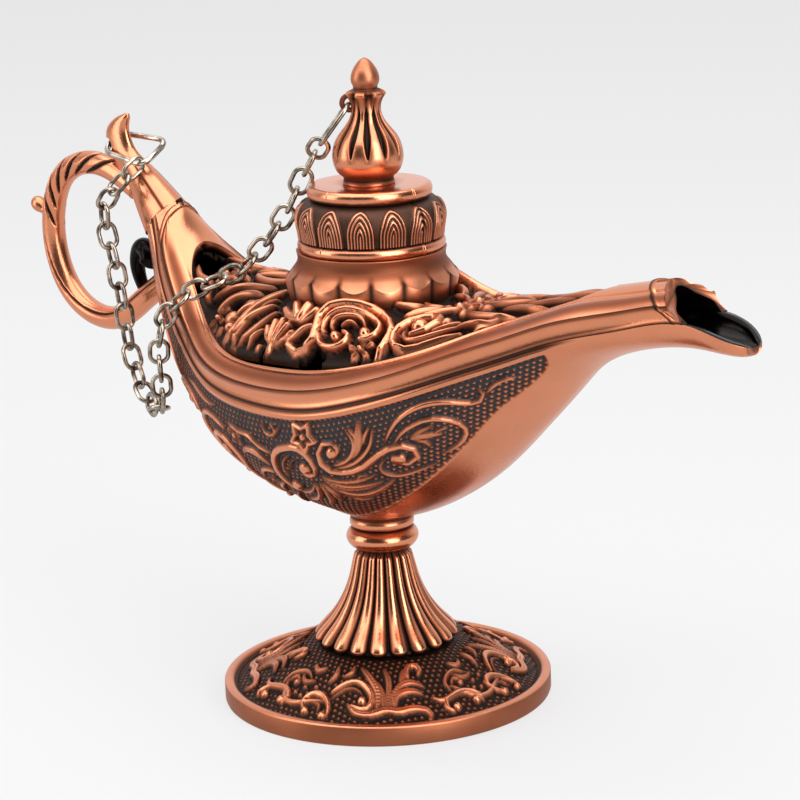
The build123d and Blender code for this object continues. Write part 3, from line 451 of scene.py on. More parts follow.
foot_dome = smooth_line([(32.4, 3.1), (29.0, 4.7), (24.0, 7.4), (19.0, 10.1), (14.5, 11.6)], 96)
foot_under = [(8.0, 11.6), (2.3, 11.6), (2.3, 9.8), (12.3, 9.8), (21.0, 6.6), (30.6, 1.1)]
foot_points = turned(np.concatenate([foot_rim, foot_dome[1:], foot_under]), FOOT_STEPS)
dome = slice(len(foot_rim), len(foot_rim) + len(foot_dome) - 1)
plan = foot_points[dome]
lines = raised(plan[..., 0], plan[..., 1], foot_strands)
near_lines = raised(plan[..., 0], plan[..., 1], bolder(foot_strands, 1.5, 1.0))
beads = stippled(plan[..., 0], plan[..., 1], 1.4, 0.40, 0.28) * (near_lines < 0.1)
spread = np.hypot(plan[..., 0], plan[..., 1])
edge = np.clip((FOOT_GROUND - spread) / 0.8, 0, 1) * np.clip((spread - FOOT_TOP) / 1.0, 0, 1)
rise = np.maximum(lines, beads) * edge
plan[..., 2] += rise
foot_worn = np.full(foot_points.shape[:2], 0.82)
foot_worn[dome] = np.where(lines > beads, np.clip(lines * 1.25 - 0.42, 0, 0.9),
                           np.clip(beads * 3.4 - 0.35, 0.0, 0.7)) * edge
foot_worn[9:12] = [[0.7], [0.3], [0.05]]
foot_worn[1:6] = 0.52
foot = make_piece("foot_casting", foot_points,
                  grid_faces(len(foot_points), FOOT_STEPS, True, True)[:, ::-1],
                  foot_copper, "lamp", wear_and_shade=foot_worn, stands_for=["foot"])

# The stem: a hollow casting that flares down to the foot, with twenty round flutes that end in
# drops. The flutes are rubbed bright, the valleys between them are black. The bolt runs inside.
STEM_LOW, STEM_TALL, FLUTES = 12.0, 20.5, 20
stem_line = smooth_line([(15.4, 0.0), (14.9, 0.9), (13.2, 3.2), (10.9, 6.0), (8.6, 9.6),
                         (6.9, 14.0), (5.9, 18.0), (5.2, 20.5)], 72)
stem_rise = stem_line[:, 1:]
turn = np.linspace(0, 2 * np.pi, FLUTES * 20, endpoint=False)[None]
across = (turn * FLUTES / (2 * np.pi) + 0.5) % 1 - 0.5
# A flute's half-width is a share of its pitch that closes round at the drop's foot and narrows
# at the neck. It is half round across, a tenth of the stem's radius high, and fuller in the drop.
fullness = np.sqrt(np.clip(1 - (1 - np.clip(stem_rise / 1.5, 0, 1)) ** 2, 0, 1))
close = 0.475 * fullness + 1e-6
round_off = np.sqrt(np.clip(1 - (across / close) ** 2, 0, 1)) * fullness
fade = np.clip((STEM_TALL - 0.4 - stem_rise) / 1.2, 0, 1)
stem_radius = stem_line[:, :1] * 0.90 + round_off * fade * (
    0.6 + stem_line[:, :1] * 0.085 + 0.35 * np.exp(-((stem_rise - 2.4) / 2.0) ** 2))
stem_points = np.stack([stem_radius * np.cos(turn), stem_radius * np.sin(turn),
                        STEM_LOW + stem_rise + 0 * turn], -1)
stem_bore = turned([(2.15, 32.5), (2.15, 31.5), (4.0, 24.0), (9.0, 15.0), (11.4, 12.0)], turn.size)
stem_points = np.concatenate([stem_points, stem_bore])
stem_worn = np.concatenate([np.clip(round_off * 1.7 - 0.72, 0, 0.9) * (0.25 + 0.75 * fade),
                            np.full((5, turn.size), 0.1)])
stem = make_piece("stem_casting", stem_points,
                  grid_faces(len(stem_points), turn.size, True, True)[:, ::-1],
                  copper("stem_copper", Gloss=0.2), "lamp", wear_and_shade=stem_worn,
                  stands_for=["fluted_stem"])


# The collar: a turned bead between the stem and the bowl, antique copper, with a black line in
# the groove above and below it. The bolt clamps it.
collar_line = [(2.15, 32.5), (5.6, 32.5), (6.3, 32.55), (6.75, 32.9), (7.3, 33.5), (7.62, 34.2),
               (7.7, 34.75), (7.62, 35.3), (7.3, 35.95), (6.8, 36.45), (6.3, 36.8), (5.9, 37.0),
               (2.15, 37.0)]
collar_shade = [0.1, 0.1, 0.2, 0.7, 0.9, 0.92, 0.92, 0.92, 0.9, 0.75, 0.3, 0.05, 0.1]
smooth_copper = copper("smooth_copper", Gloss=0.2)
collar = make_piece("collar_bead", turned(collar_line, 96),
                    grid_faces(len(collar_line), 96, True, True)[:, ::-1], smooth_copper, "lamp",
                    wear_and_shade=np.repeat(np.array(collar_shade)[:, None], 96, 1),
                    stands_for=["stem_collar"])


# The bolt, its washer and nut, and the stud, washer and nut that hold the finial: plated steel,
# made by the thousand and hidden inside. They keep their own shapes.
def plated_steel():
    """Dull zinc plating: cloudy grey with a faint yellow bloom."""
    finish = bpy.data.materials.new("plated_steel")
    finish.use_nodes = True
    nodes, links = finish.node_tree.nodes, finish.node_tree.links
    metal = nodes["Principled BSDF"]
    metal.inputs["Metallic"].default_value = 1.0
    where, cloud = nodes.new("ShaderNodeTexCoord"), nodes.new("ShaderNodeTexNoise")
    cloud.inputs["Scale"].default_value, cloud.inputs["Detail"].default_value = 400, 5
    links.new(where.outputs["Object"], cloud.inputs["Vector"])
    bloom = nodes.new("ShaderNodeValToRGB")
    bloom.color_ramp.elements[0].color = (0.42, 0.41, 0.38, 1)
    bloom.color_ramp.elements[1].color = (0.62, 0.60, 0.52, 1)
    links.new(cloud.outputs["Fac"], bloom.inputs[0])
    links.new(bloom.outputs[0], metal.inputs["Base Color"])
    dull = nodes.new("ShaderNodeMapRange")
    dull.inputs["To Min"].default_value, dull.inputs["To Max"].default_value = 0.3, 0.5
    links.new(cloud.outputs["Fac"], dull.inputs["Value"])
    links.new(dull.outputs["Result"], metal.inputs["Roughness"])
    return finish


steel = plated_steel()
for node in ("tie_bolt", "tie_washer", "tie_nut", "finial_stud", "finial_washer", "finial_nut"):
    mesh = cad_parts[node].data
    mesh.materials.clear()
    mesh.materials.append(steel)

# The bowl: two half shells, cast in zinc and joined on the lamp's middle plane, that run out to
# the spout. Each carries a sunk panel of scrolls over a beaded ground, blackened, and the keel
# and the spout are brushed copper. A round boss below sits on the collar.
BASE_Z, TALL, HALF_BEAM, TAIL_REACH, SPOUT_REACH = 40.0, 60.0, 31.0, 66.5, 97.6
hull_shares = np.array((
    (-0.925, 0.950, -1.000, 0.867, 0.148, 0.50, 0.50),
    (-0.887, 0.875, -0.970, 0.742, 0.200, 0.50, 0.47),
    (-0.827, 0.792, -0.917, 0.592, 0.300, 0.50, 0.45),
    (-0.722, 0.675, -0.820, 0.392, 0.432, 0.46, 0.45),
    (-0.571, 0.575, -0.654, 0.200, 0.606, 0.50, 0.46),
    (-0.376, 0.503, -0.406, 0.067, 0.816, 0.52, 0.50),
    (-0.075, 0.483, -0.075, 0.000, 0.968, 0.52, 0.55),
    (0.072, 0.497, 0.072, 0.005, 1.000, 0.50, 0.55),
    (0.212, 0.550, 0.212, 0.092, 0.968, 0.45, 0.50),
    (0.334, 0.617, 0.334, 0.225, 0.871, 0.40, 0.38),
    (0.430, 0.678, 0.430, 0.367, 0.729, 0.36, 0.31),
    (0.517, 0.733, 0.517, 0.508, 0.568, 0.36, 0.31),
    (0.605, 0.787, 0.605, 0.650, 0.426, 0.40, 0.35),
    (0.746, 0.845, 0.746, 0.755, 0.290, 0.50, 0.50),
    (0.891, 0.883, 0.891, 0.787, 0.219, 0.58, 0.58),
    (0.963, 0.848, 0.963, 0.782, 0.174, 0.58, 0.58),
    (0.988, 0.830, 0.988, 0.785, 0.116, 0.58, 0.58),
    (1.000, 0.822, 1.000, 0.792, 0.071, 0.58, 0.58)))


def places(along, level):
    """Points on the middle plane from shares of the two reaches and of the hull's height."""
    reach = np.where(along > 0, SPOUT_REACH, TAIL_REACH)
    return np.stack([along * reach, 0 * along, BASE_Z + TALL * level], -1)


rim = places(hull_shares[:, 0], hull_shares[:, 1])
keel = places(hull_shares[:, 2], hull_shares[:, 3])
hull_depth = np.linalg.norm(rim - keel, axis=1)
upward = (rim - keel) / hull_depth[:, None]
half_rim = hull_shares[:, 4] * HALF_BEAM


def cage(wall):
    """Each station's near half section: four Bezier points from the rim down to the keel."""
    half, deep = half_rim - np.minimum(wall, 0.45 * half_rim), hull_depth - wall
    side, belly = hull_shares[:, 5] * deep, hull_shares[:, 6] * half
    corners = ((-half, 0 * half), (-half, -side), (-belly, -deep), (0 * half, -deep))
    sideways = np.array([0.0, 1.0, 0.0])
    return np.stack([rim + y[:, None] * sideways + h[:, None] * upward for y, h in corners], 1)


chord = np.linalg.norm(np.diff(cage(0), axis=0), axis=2).mean(1)
knots = np.concatenate([[0], np.cumsum(chord)])


def hull_surface(run, share, wall=0.0):
    """The near side at each run along the hull and share round its girth. It is a cubic Bezier
    across, and its four corners follow smooth curves through the stations."""
    corners = through(knots, cage(wall), run)
    a, b, c, d = (corners[:, k][:, None] for k in range(4))
    t = share[None, :, None]
    return ((1 - t) ** 3 * a + 3 * t * (1 - t) ** 2 * b + 3 * t ** 2 * (1 - t) * c + t ** 3 * d)


middle_run = np.linspace(0, knots[-1], 800)
middle = hull_surface(middle_run, np.array([0.4]))[:, 0]
length = np.concatenate([[0], np.cumsum(np.linalg.norm(np.diff(middle, axis=0), axis=1))])
length = length - np.interp(0, middle[:, 0], length)
# The panel's ornament by length along the hull from the lamp's axis, and by distance down its
# side from the rim, in millimetres. The photograph shows those before the axis, and
# those behind it go on in the same manner.
panel_strands = [
    strand([(6.9, 15.6), (7.7, 13.6), (7.4, 11.4), (6.0, 9.3), (3.8, 8.5), (1.5, 8.8), (-1.2, 9.6),
            (-3.5, 11.4), (-5.0, 14.2), (-5.3, 17.5), (-4.2, 20.2), (-1.8, 22.2)], 0.85, 0.95,
           0.6, 0.4), ball(4.7, 14.0, 1.35, 1.15), ball(-1.4, 20.0, 1.3, 1.15),
    strand([(6.9, 15.6), (5.4, 15.9), (3.6, 15.2)], 0.55, 0.9, 0.5, 0.6),
    strand([(1.5, 10.9), (-0.8, 12.3), (-2.5, 15.3), (-2.3, 18.2)], 0.42, 0.7),
    strand([(3.2, 11.6), (1.0, 12.9), (-0.6, 15.6)], 0.32, 0.6),
    strand([(-1.8, 22.2), (1.0, 21.8), (3.4, 20.4), (5.0, 18.2)], 0.5, 0.8, 0.5, 0.4),
    strand([(5.2, 19.0), (4.2, 21.8), (1.8, 24.2), (-1.4, 25.2)], 0.6, 0.9, 0.5, 0.4),
    strand([(6.6, 18.4), (6.6, 21.4), (5.2, 25.2), (3.0, 27.2)], 0.8, 0.9, 0.5, 0.2, 0.4),
    strand([(7.6, 18.6), (8.4, 22.0), (8.0, 25.4)], 0.7, 0.9, 0.5, 0.2, 0.4),
    strand([(15.0, 8.0), (13.3, 7.5), (11.3, 8.8), (10.0, 11.8), (11.4, 14.6), (15.0, 15.8),
            (18.7, 15.7), (22.5, 14.2), (27.0, 12.6), (30.6, 12.8), (32.4, 15.0), (31.6, 17.6),
            (28.9, 18.2), (27.0, 16.8)], 0.78, 1.0, 0.5, 0.5),
    ball(14.0, 10.3, 1.3, 1.15), ball(28.4, 16.0, 1.25, 1.15),
    strand([(27.0, 16.8), (27.0, 15.4), (28.4, 14.8)], 0.5, 0.85, 0.6, 0.4),
    strand([(15.0, 8.0), (15.9, 9.4), (15.0, 11.0)], 0.5, 0.85, 0.5, 0.4),
    strand([(25.2, 15.2), (23.2, 16.8), (23.3, 18.8), (25.2, 20.6), (28.7, 21.3), (34.0, 21.4)],
           0.5, 0.8, 0.4, 0.3),
    strand([(29.0, 12.0), (31.8, 9.8), (35.3, 8.6), (39.0, 8.4), (41.7, 9.8), (43.6, 12.0),
            (44.0, 14.6), (42.7, 17.0), (39.8, 18.8), (36.4, 19.2)], 0.6, 0.9, 0.3, 0.4),
    strand([(33.5, 11.8), (36.2, 12.2), (39.6, 13.6)], 0.8, 0.9, 0.6, 0.2, 0.5),
    strand([(33.6, 11.6), (36.4, 10.6), (39.2, 10.6)], 0.6, 0.8, 0.6, 0.2, 0.4),
    strand([(33.8, 12.4), (35.4, 14.0), (35.6, 16.0)], 0.6, 0.8, 0.6, 0.2, 0.4),
    strand([(38.0, 12.8), (40.2, 12.2), (41.4, 12.8)], 0.4, 0.7, 0.6, 0.3),
    strand([(27.5, 10.8), (30.2, 8.0), (34.3, 5.5), (38.5, 4.7), (42.7, 5.2), (45.8, 6.6),
            (48.4, 8.2), (50.6, 8.5), (51.9, 7.2), (51.7, 5.2)], 0.62, 0.95, 0.3, 0.3),
    strand([(52.5, 7.1), (54.8, 5.8), (57.5, 5.2), (59.6, 6.0)], 0.4, 0.8, 0.3, 0.3),
    strand([(19.4, 5.4), (20.5, 7.8), (19.4, 10.8), (16.5, 12.9), (13.0, 13.4)], 0.5, 0.85, 0.3),
    strand([(26.2, 6.3), (24.4, 9.8), (21.4, 12.4), (17.0, 14.1), (13.6, 14.2)], 0.5, 0.85, 0.3),
    strand([(23.3, 3.8), (22.4, 7.0), (20.6, 10.4), (17.6, 12.6)], 1.05, 0.9, 0.15, 0.3, 0.55),
    strand([(20.2, 5.2), (21.4, 7.2), (21.6, 9.0)], 0.45, 0.8, 0.2, 0.4),
    strand([(25.6, 6.0), (23.8, 7.8), (22.6, 9.8)], 0.45, 0.8, 0.2, 0.4),
    strand([(8.4, 16.2), (11.6, 18.0), (16.2, 19.0), (21.4, 18.4)], 0.6, 0.9, 0.4, 0.15, 0.3),
    strand([(8.4, 16.8), (12.0, 20.0), (16.8, 21.2), (21.6, 21.2)], 0.95, 0.95, 0.4, 0.15, 0.5),
    strand([(8.8, 18.0), (11.6, 22.2), (16.4, 23.9), (24.6, 21.2)], 0.75, 0.95, 0.4, 0.15, 0.3),
    strand([(16.0, 19.6), (18.2, 17.6), (19.4, 18.4)], 0.4, 0.7, 0.4, 0.3),
    strand([(10.6, 22.0), (12.6, 24.8), (16.2, 26.0)], 0.5, 0.8, 0.4, 0.2, 0.3),
    strand([(-18.8, 6.8), (-14.8, 8.0), (-11.2, 8.2), (-8.4, 10.0), (-4.6, 11.4)], 0.5, 0.85),
    strand([(-5.0, 4.4), (-3.6, 6.4), (-1.4, 6.0), (0.8, 4.0)], 0.42, 0.75, 0.4, 0.3),
    strand([(-2.4, 3.6), (-1.0, 5.0), (-2.0, 7.2)], 0.35, 0.7, 0.4, 0.3),
    strand([(-16.4, 14.0), (-13.0, 12.2), (-9.6, 13.0), (-6.8, 15.2)], 0.85, 0.95, 0.4, 0.3, 0.4),
    strand([(-6.6, 17.2), (-9.4, 17.0), (-12.4, 18.6), (-13.6, 21.4)], 0.6, 0.9, 0.4, 0.3),
    strand([(-6.0, 20.4), (-8.6, 22.4), (-9.4, 25.4)], 0.7, 0.9, 0.4, 0.2, 0.4),
    strand([(-4.0, 23.6), (-6.0, 26.6), (-6.0, 29.6)], 0.6, 0.9, 0.4, 0.2, 0.4),
    strand([(-11.6, 27.0), (-15.0, 25.4), (-16.4, 22.4)], 0.55, 0.85),
    strand([(-17.6, 25.0), (-20.0, 21.6), (-19.4, 17.2), (-22.4, 13.6), (-26.6, 12.8), (-29.6, 15.0),
            (-29.8, 18.6), (-27.0, 20.6)], 0.85, 1.0, 0.4, 0.6), ball(-26.4, 17.6, 1.4, 1.15),
    strand([(-21.4, 9.6), (-25.4, 8.2), (-29.6, 8.6), (-33.4, 11.0), (-35.0, 14.6), (-34.0, 18.4),
            (-30.8, 22.6), (-27.0, 26.6), (-22.0, 29.4)], 0.75, 1.0, 0.4, 0.4),
    strand([(-35.4, 12.6), (-39.4, 10.2), (-44.0, 9.6), (-48.4, 11.4), (-50.0, 15.0), (-48.0, 18.2),
            (-44.6, 18.2), (-43.0, 15.8)], 0.8, 1.0, 0.4, 0.5), ball(-45.2, 15.2, 1.2, 1.1),
    strand([(-36.0, 17.6), (-39.6, 20.6), (-41.6, 24.4)], 0.9, 0.95, 0.5, 0.2, 0.5),
    strand([(-35.0, 20.2), (-36.4, 23.8), (-36.4, 27.4)], 0.8, 0.95, 0.5, 0.2, 0.5),
    strand([(-50.6, 13.0), (-54.4, 9.6), (-58.6, 7.6), (-63.0, 5.6)], 0.6, 0.9, 0.4, 0.2),
    strand([(-51.0, 16.2), (-54.6, 14.6), (-58.2, 11.6)], 0.55, 0.9, 0.4, 0.2, 0.4),
    strand([(-24.0, 4.8), (-29.6, 5.2), (-36.0, 5.0), (-41.4, 6.4)], 0.5, 0.85),
    strand([(-31.0, 25.4), (-33.4, 28.6), (-31.6, 30.6)], 0.6, 0.9, 0.4, 0.5),
    ball(-23.4, 24.0, 1.0, 1.0), ball(-13.0, 29.4, 0.9, 1.0), ball(-21.0, 32.0, 0.9, 1.0),
] + blossom(-17.2, 9.8, 2.7, 0.9, 5, 0.9) + blossom(-10.2, 20.6, 1.9, 0.8, 5, 0.3)
# The star flower: a raised star with a hollow heart, and a bead in it.
star_turn = np.linspace(0, 2 * np.pi, 11) + 0.35
star_reach = np.where(np.arange(11) % 2 == 0, 3.5, 2.0)
star = np.stack([7.4 + star_reach * np.cos(star_turn), 6.0 + star_reach * np.sin(star_turn)], -1)
panel_strands += [(star, np.full(11, 0.48), np.full(11, 0.9), 0.0), ball(7.4, 6.0, 0.8, 0.9)]
panel_strands += [ball(7.4 + 1.35 * math.cos(t), 6.0 + 1.35 * math.sin(t), 0.34, 0.6)
                  for t in (0.98, 2.24, 3.49, 4.75, 6.01)]
panel_edge = smooth_line([(-67, 3), (-62, 14), (-55, 22), (-45, 28), (-30, 33), (-15, 36),
                          (0, 36.5), (8, 34), (17, 31), (22, 29), (31, 25), (37, 22),
                          (43.5, 18.5), (49, 15), (54, 12.3), (60, 10), (64, 8), (66.6, 5.6),
                          (67.4, 2.0)], 200)
PANEL_SINK, RIDGE_DROP = 0.65, 1.3
far_aft, aft, fore, tip = length[0], -70.0, 69.5, length[-1]
wanted = np.concatenate([np.linspace(far_aft, aft, 22)[:-1], np.linspace(aft, fore, 405)[:-1],
                         np.linspace(fore, tip, 46)])
run = np.interp(wanted, length, middle_run)
shares_out, shares_in = np.linspace(0, 1, 168), np.linspace(1, 0, 9)
side = hull_surface(run, shares_out)
drop = np.linalg.norm(np.diff(side, axis=1), axis=2).cumsum(1)
drop = np.concatenate([np.zeros((len(run), 1)), drop], 1)
along_side = np.broadcast_to(wanted[:, None], drop.shape)
floor_at = np.interp(along_side, *panel_edge.T, left=0, right=0)
sunk = np.clip((drop - 2.1) / 0.5, 0, 1) * np.clip((floor_at - drop) / 0.6, 0, 1)
bead_size = 0.34 + 0.2 * np.clip(1.4 * drop / np.maximum(floor_at, 1) - 0.35, 0, 1)
lines = raised(along_side, drop, bolder(panel_strands, 1.22, 1.1))
clear = raised(along_side, drop, bolder(panel_strands, 1.75, 1.0)) < 0.1
beads = stippled(along_side, drop, 1.45, bead_size, 0.34) * clear
smooth_side = 0.22 * np.exp(-((drop - RIDGE_DROP) / 0.32) ** 2)
smooth_side = smooth_side - 0.35 * np.exp(-((drop - 0.35) / 0.35) ** 2)
smooth_side = smooth_side * np.clip((75 - along_side) / 8, 0, 1)
lift = sunk * (np.maximum(lines, beads) - PANEL_SINK) + smooth_side
side_out = side + normals(side) * lift[..., None]
side_worn = 0.86 - 0.75 * np.exp(-((drop - 0.3) / 0.45) ** 2) * np.clip((75 - along_side) / 8, 0, 1)
relief_worn = np.where(lines > beads, np.clip(lines * 1.5 - 0.45, 0, 0.95),
                       np.clip(beads * 3.4 - 0.25, 0, 0.85))
side_worn = side_worn * (1 - sunk) + relief_worn * sunk
# The shells' insides are painted near black: painted shade, so that the bowl looks dark through the
# deck's openings and the mouth.
hollow = hull_surface(run, shares_in, 1.6)
hollow_painted_shade = np.full(hollow.shape[:2], 0.06)
near_side = np.concatenate([side_out, hollow], 1)
side_faces = grid_faces(near_side.shape[0], near_side.shape[1], ring_columns=True)
columns, last_row = near_side.shape[1], (near_side.shape[0] - 1) * near_side.shape[1]
caps = [list(range(columns)), list(range(last_row + columns - 1, last_row - 1, -1))]
shell_wear_and_shade = np.concatenate([side_worn, hollow_painted_shade], 1)
bowl_copper = copper("bowl_copper", Black=(0.050, 0.051, 0.055, 1), Gloss=0.24, Dull=0.5)
# Near-black finish: the volute curl's own black, and painted shade on the inner faces of the shells.
black_and_cavity_shade = copper("black_and_cavity_shade", 0.1, Gloss=0.14, Dull=0.2, Black=(0.006, 0.005, 0.005, 1),
                      Brown=(0.018, 0.010, 0.008, 1))
for name, mirror, node in (("bowl_near_shell", 1, "bowl_near"), ("bowl_far_shell", -1, "bowl_far")):
    shell = make_piece(name, near_side * np.array([1, mirror, 1]),
                       side_faces[:, ::mirror], bowl_copper, "lamp", wear_and_shade=shell_wear_and_shade,
                       stands_for=[node], caps=[cap[::mirror] for cap in caps])
    # The inner faces take the near-black finish as painted shade.
    shell.data.materials.append(black_and_cavity_shade)
    inner = np.zeros(len(shell.data.polygons), int)
    inner[:side_faces.shape[0]] = side_faces[:, 0] % columns > len(shares_out)
    shell.data.polygons.foreach_set("material_index", inner)
boss_line = [(2.15, 37.0), (6.0, 37.0), (6.5, 37.15), (6.8, 37.6), (6.85, 38.4), (6.7, 38.9),
             (6.45, 39.2), (6.6, 39.6), (7.6, 40.3), (8.6, 41.2), (2.15, 41.2)]
boss_shade = np.array([0.1, 0.1, 0.6, 0.88, 0.9, 0.7, 0.15, 0.3, 0.75, 0.8, 0.1])
boss = make_piece("bowl_boss", turned(boss_line, 96),
                  grid_faces(len(boss_line), 96, True, True)[:, ::-1], smooth_copper, "lamp",
                  wear_and_shade=np.repeat(boss_shade[:, None], 96, 1),
                  stands_for=["bowl_near", "bowl_far"])

# The cover: a casting that closes the bowl from above. A polished bead runs along its foot, a
# satin band slopes in from it and is slightly hollow, and the crown closes it over the tail and
# the spout. Between them it is open for the deck. It is held by the bead's rebate and solder.
cover_shares = np.array((
    (0.70, 0.060, 0.092),
    (0.71, 0.083, 0.113),
    (0.65, 0.093, 0.117),
    (0.67, 0.100, 0.150),
    (0.77, 0.087, 0.183),
    (0.84, 0.092, 0.217),
    (0.83, 0.103, 0.233),
    (0.84, 0.112, 0.250),
    (0.79, 0.108, 0.233),
    (0.66, 0.108, 0.200),
    (0.51, 0.115, 0.167),
    (0.455, 0.113, 0.147),
    (0.41, 0.113, 0.137),
    (0.50, 0.105, 0.132),
    (0.53, 0.090, 0.117),
    (0.53, 0.080, 0.107)))
BANDS, OPEN_FIRST, OPEN_LAST = len(cover_shares), 3, 12
OPEN_TAIL, OPEN_SPOUT, LIP, BEAD_SHARE = -51.0, 66.0, 0.6, 0.5
band_half = half_rim[:BANDS]
band_table = np.concatenate([
    rim[:BANDS], upward[:BANDS], band_half[:, None],
    (cover_shares[:, 0] * band_half)[:, None], cover_shares[:, 1:] * TALL], 1)
open_edge = rim[OPEN_FIRST:OPEN_LAST + 1] + upward[OPEN_FIRST:OPEN_LAST + 1] * (
    cover_shares[OPEN_FIRST:OPEN_LAST + 1, 1:2] * TALL)
open_knots = np.array([OPEN_TAIL, *open_edge[:, 0], OPEN_SPOUT])
open_half = np.array([0.0, *(cover_shares[:, 0] * band_half)[OPEN_FIRST:OPEN_LAST + 1] - LIP, 0.0])


def opening(x):
    """Half-width of the opening at each place along the lamp, nought beyond its two points."""
    x = np.asarray(x, float)
    inner = through(open_knots[1:-1], open_half[1:-1, None], np.clip(x, *open_knots[[1, -2]]))[:, 0]
    tail = open_half[1] * np.sqrt(np.clip((x - OPEN_TAIL) / (open_knots[1] - OPEN_TAIL), 0, 1))
    front = np.clip((OPEN_SPOUT - x) / (OPEN_SPOUT - open_knots[-2]), 0, 1)
    front = open_half[-2] * front ** 0.8
    return np.where(x < open_knots[1], tail, np.where(x > open_knots[-2], front, inner))


def cover_surface(run, part, inset=0.0):
    """Near half of the cover. Each station has a straight bead, a straight band and a flat
    arc up to the crown, and a point lies at its part of the way along those three, or along
    what the opening leaves of them. Returns the points and the way walked from the foot."""
    shape = run.shape
    table = through(knots[:BANDS], band_table, run.ravel()).reshape(shape + (10,))
    place, lift, half = table[..., :3], table[..., 3:6], table[..., 6] - inset
    edge, rise, crown = table[..., 7] - inset, table[..., 8] - inset, table[..., 9] - inset
    lift = lift / np.linalg.norm(lift, axis=-1, keepdims=True)
    gap = opening((place + lift * rise[..., None])[..., 0].ravel()).reshape(shape)
    stop = np.minimum(gap, edge - 0.2)
    bead = BEAD_SHARE * rise
    legs = np.stack([bead, np.hypot(half - edge, rise - bead), (edge - stop) * 1.03], -1)
    walked = part * legs.sum(-1)
    first = np.clip(walked / legs[..., 0], 0, 1)
    second = np.clip((walked - legs[..., 0]) / legs[..., 1], 0, 1)
    third = np.clip((walked - legs[..., :2].sum(-1)) / np.maximum(legs[..., 2], 1e-3), 0, 1)
    across = half + second * (edge - half) + third * (stop - edge)
    sagitta = np.maximum(crown - rise, 0.05)
    radius = (edge ** 2 + sagitta ** 2) / (2 * sagitta)
    arc = crown - radius + np.sqrt(np.maximum(radius ** 2 - across ** 2, 0))
    high = np.where(third > 0, arc, bead * first + second * (rise - bead))
    points = place + lift * high[..., None]
    points[..., 1] -= across
    return points, walked, legs


# The cover ends on the mouth's sloping plane. Each line along it is cut there by halving.
mouth_top, mouth_low = np.array([78.6, 0, 99.6]), np.array([86.0, 0, 93.0])
mouth_way = np.cross(mouth_low - mouth_top, [0.0, 1.0, 0.0])
mouth_way /= np.linalg.norm(mouth_way)
OUTER, INNER = 64, 10
parts_out, parts_in = np.linspace(0, 1, OUTER), np.linspace(1, 0, INNER)
parts_all = np.concatenate([parts_out, parts_in])
insets = np.concatenate([np.zeros(OUTER), np.full(INNER, 1.5)])
low_end = np.full(parts_all.size, knots[11])
high_end = np.full(parts_all.size, knots[BANDS - 1])
HALVINGS = 24
for _ in range(HALVINGS):
    halfway = (low_end + high_end) / 2
    test = cover_surface(halfway, parts_all, insets)[0]
    beyond = (test - mouth_top) @ mouth_way * np.sign((np.array([200, 0, 90]) - mouth_top)
                                                      @ mouth_way) > 0
    high_end, low_end = np.where(beyond, halfway, high_end), np.where(beyond, low_end, halfway)
walk = np.concatenate([np.linspace(0, 20, 74)[:-1], np.linspace(20, knots[12], 250)[:-1],
                       np.linspace(knots[12], knots[BANDS - 1], 90)])
ahead = np.clip((walk - knots[12]) / (knots[BANDS - 1] - knots[12]), 0, 1)[:, None]
runs = np.where(ahead > 0, knots[12] + ahead * (high_end[None] - knots[12]), walk[:, None])
band, walked, legs = cover_surface(runs, parts_all[None] + 0 * runs, insets[None] + 0 * runs)
edge_way = legs[..., 0]
second_way = legs[..., 0] + legs[..., 1]
# The bead swells between the foot and a groove, a fine groove follows above it, and the band is
# hollow between that and its raised inner lip. At the tail the grooves meet in a pointed arch.
# A raised strip with a dark line behind it runs round the mouth, and is widest at the crown.
bead_part = np.clip(walked / np.maximum(edge_way, 0.1), 0, 1)
swell = np.sqrt(np.clip(1 - (2 * bead_part - 1) ** 2, 0, 1)) * 0.55 - 0.35
top_walk = legs.sum(-1)
arch = np.clip((runs - 3.2) / 9.0, 0, 1)
groove_at = top_walk - (top_walk - edge_way - 0.35) * np.sqrt(1 - (1 - arch) ** 2)
after = np.exp(-((walked - groove_at) / 0.38) ** 2)
arch_two = np.clip((runs - 1.2) / 9.0, 0, 1)
outer_at = top_walk - (top_walk - edge_way + 0.2) * np.sqrt(1 - (1 - arch_two) ** 2)
outer = np.exp(-((walked - outer_at) / 0.26) ** 2) * np.clip((14 - runs) / 5, 0, 1)
band_part = np.clip((walked - groove_at - 0.3) / np.maximum(second_way - groove_at - 0.3, 0.3), 0, 1)
hollow_band = np.sin(np.pi * band_part) ** 2
lip = np.exp(-((walked - second_way) / 0.5) ** 2) * np.clip((runs - 12) / 8, 0, 1)
past = np.clip((edge_way - walked) / 0.4, 0, 1)
outside = np.arange(parts_all.size)[None] < OUTER
to_mouth = high_end[None] - runs
border_wide = 1.5 + 2.3 * parts_all[None]
near_mouth = runs > knots[13]
border = np.clip((border_wide - to_mouth) / 0.25, 0, 1) * np.clip(to_mouth / 0.3, 0, 1) * near_mouth
border_line = np.exp(-((to_mouth - border_wide - 0.3) / 0.3) ** 2) * near_mouth
crease_foot = np.exp(-(walked / 0.42) ** 2)
lift = (swell * past - 0.55 * after - 0.45 * outer - 0.42 * hollow_band + 0.22 * lip
        + 0.3 * border - 0.3 * border_line)
way_out = normals(band)
cover_near = band + np.where(outside, lift, 0)[..., None] * way_out
# The grooves and the joint at the foot are dark, the lip is rubbed lighter, and the band's hollow is
# darkened further as painted shade.
shade = (0.86 - 0.85 * after - 0.8 * outer - 0.50 * hollow_band * np.clip((runs - 8) / 10, 0, 1)
         - 0.85 * crease_foot + 0.1 * lip - 0.85 * border_line)
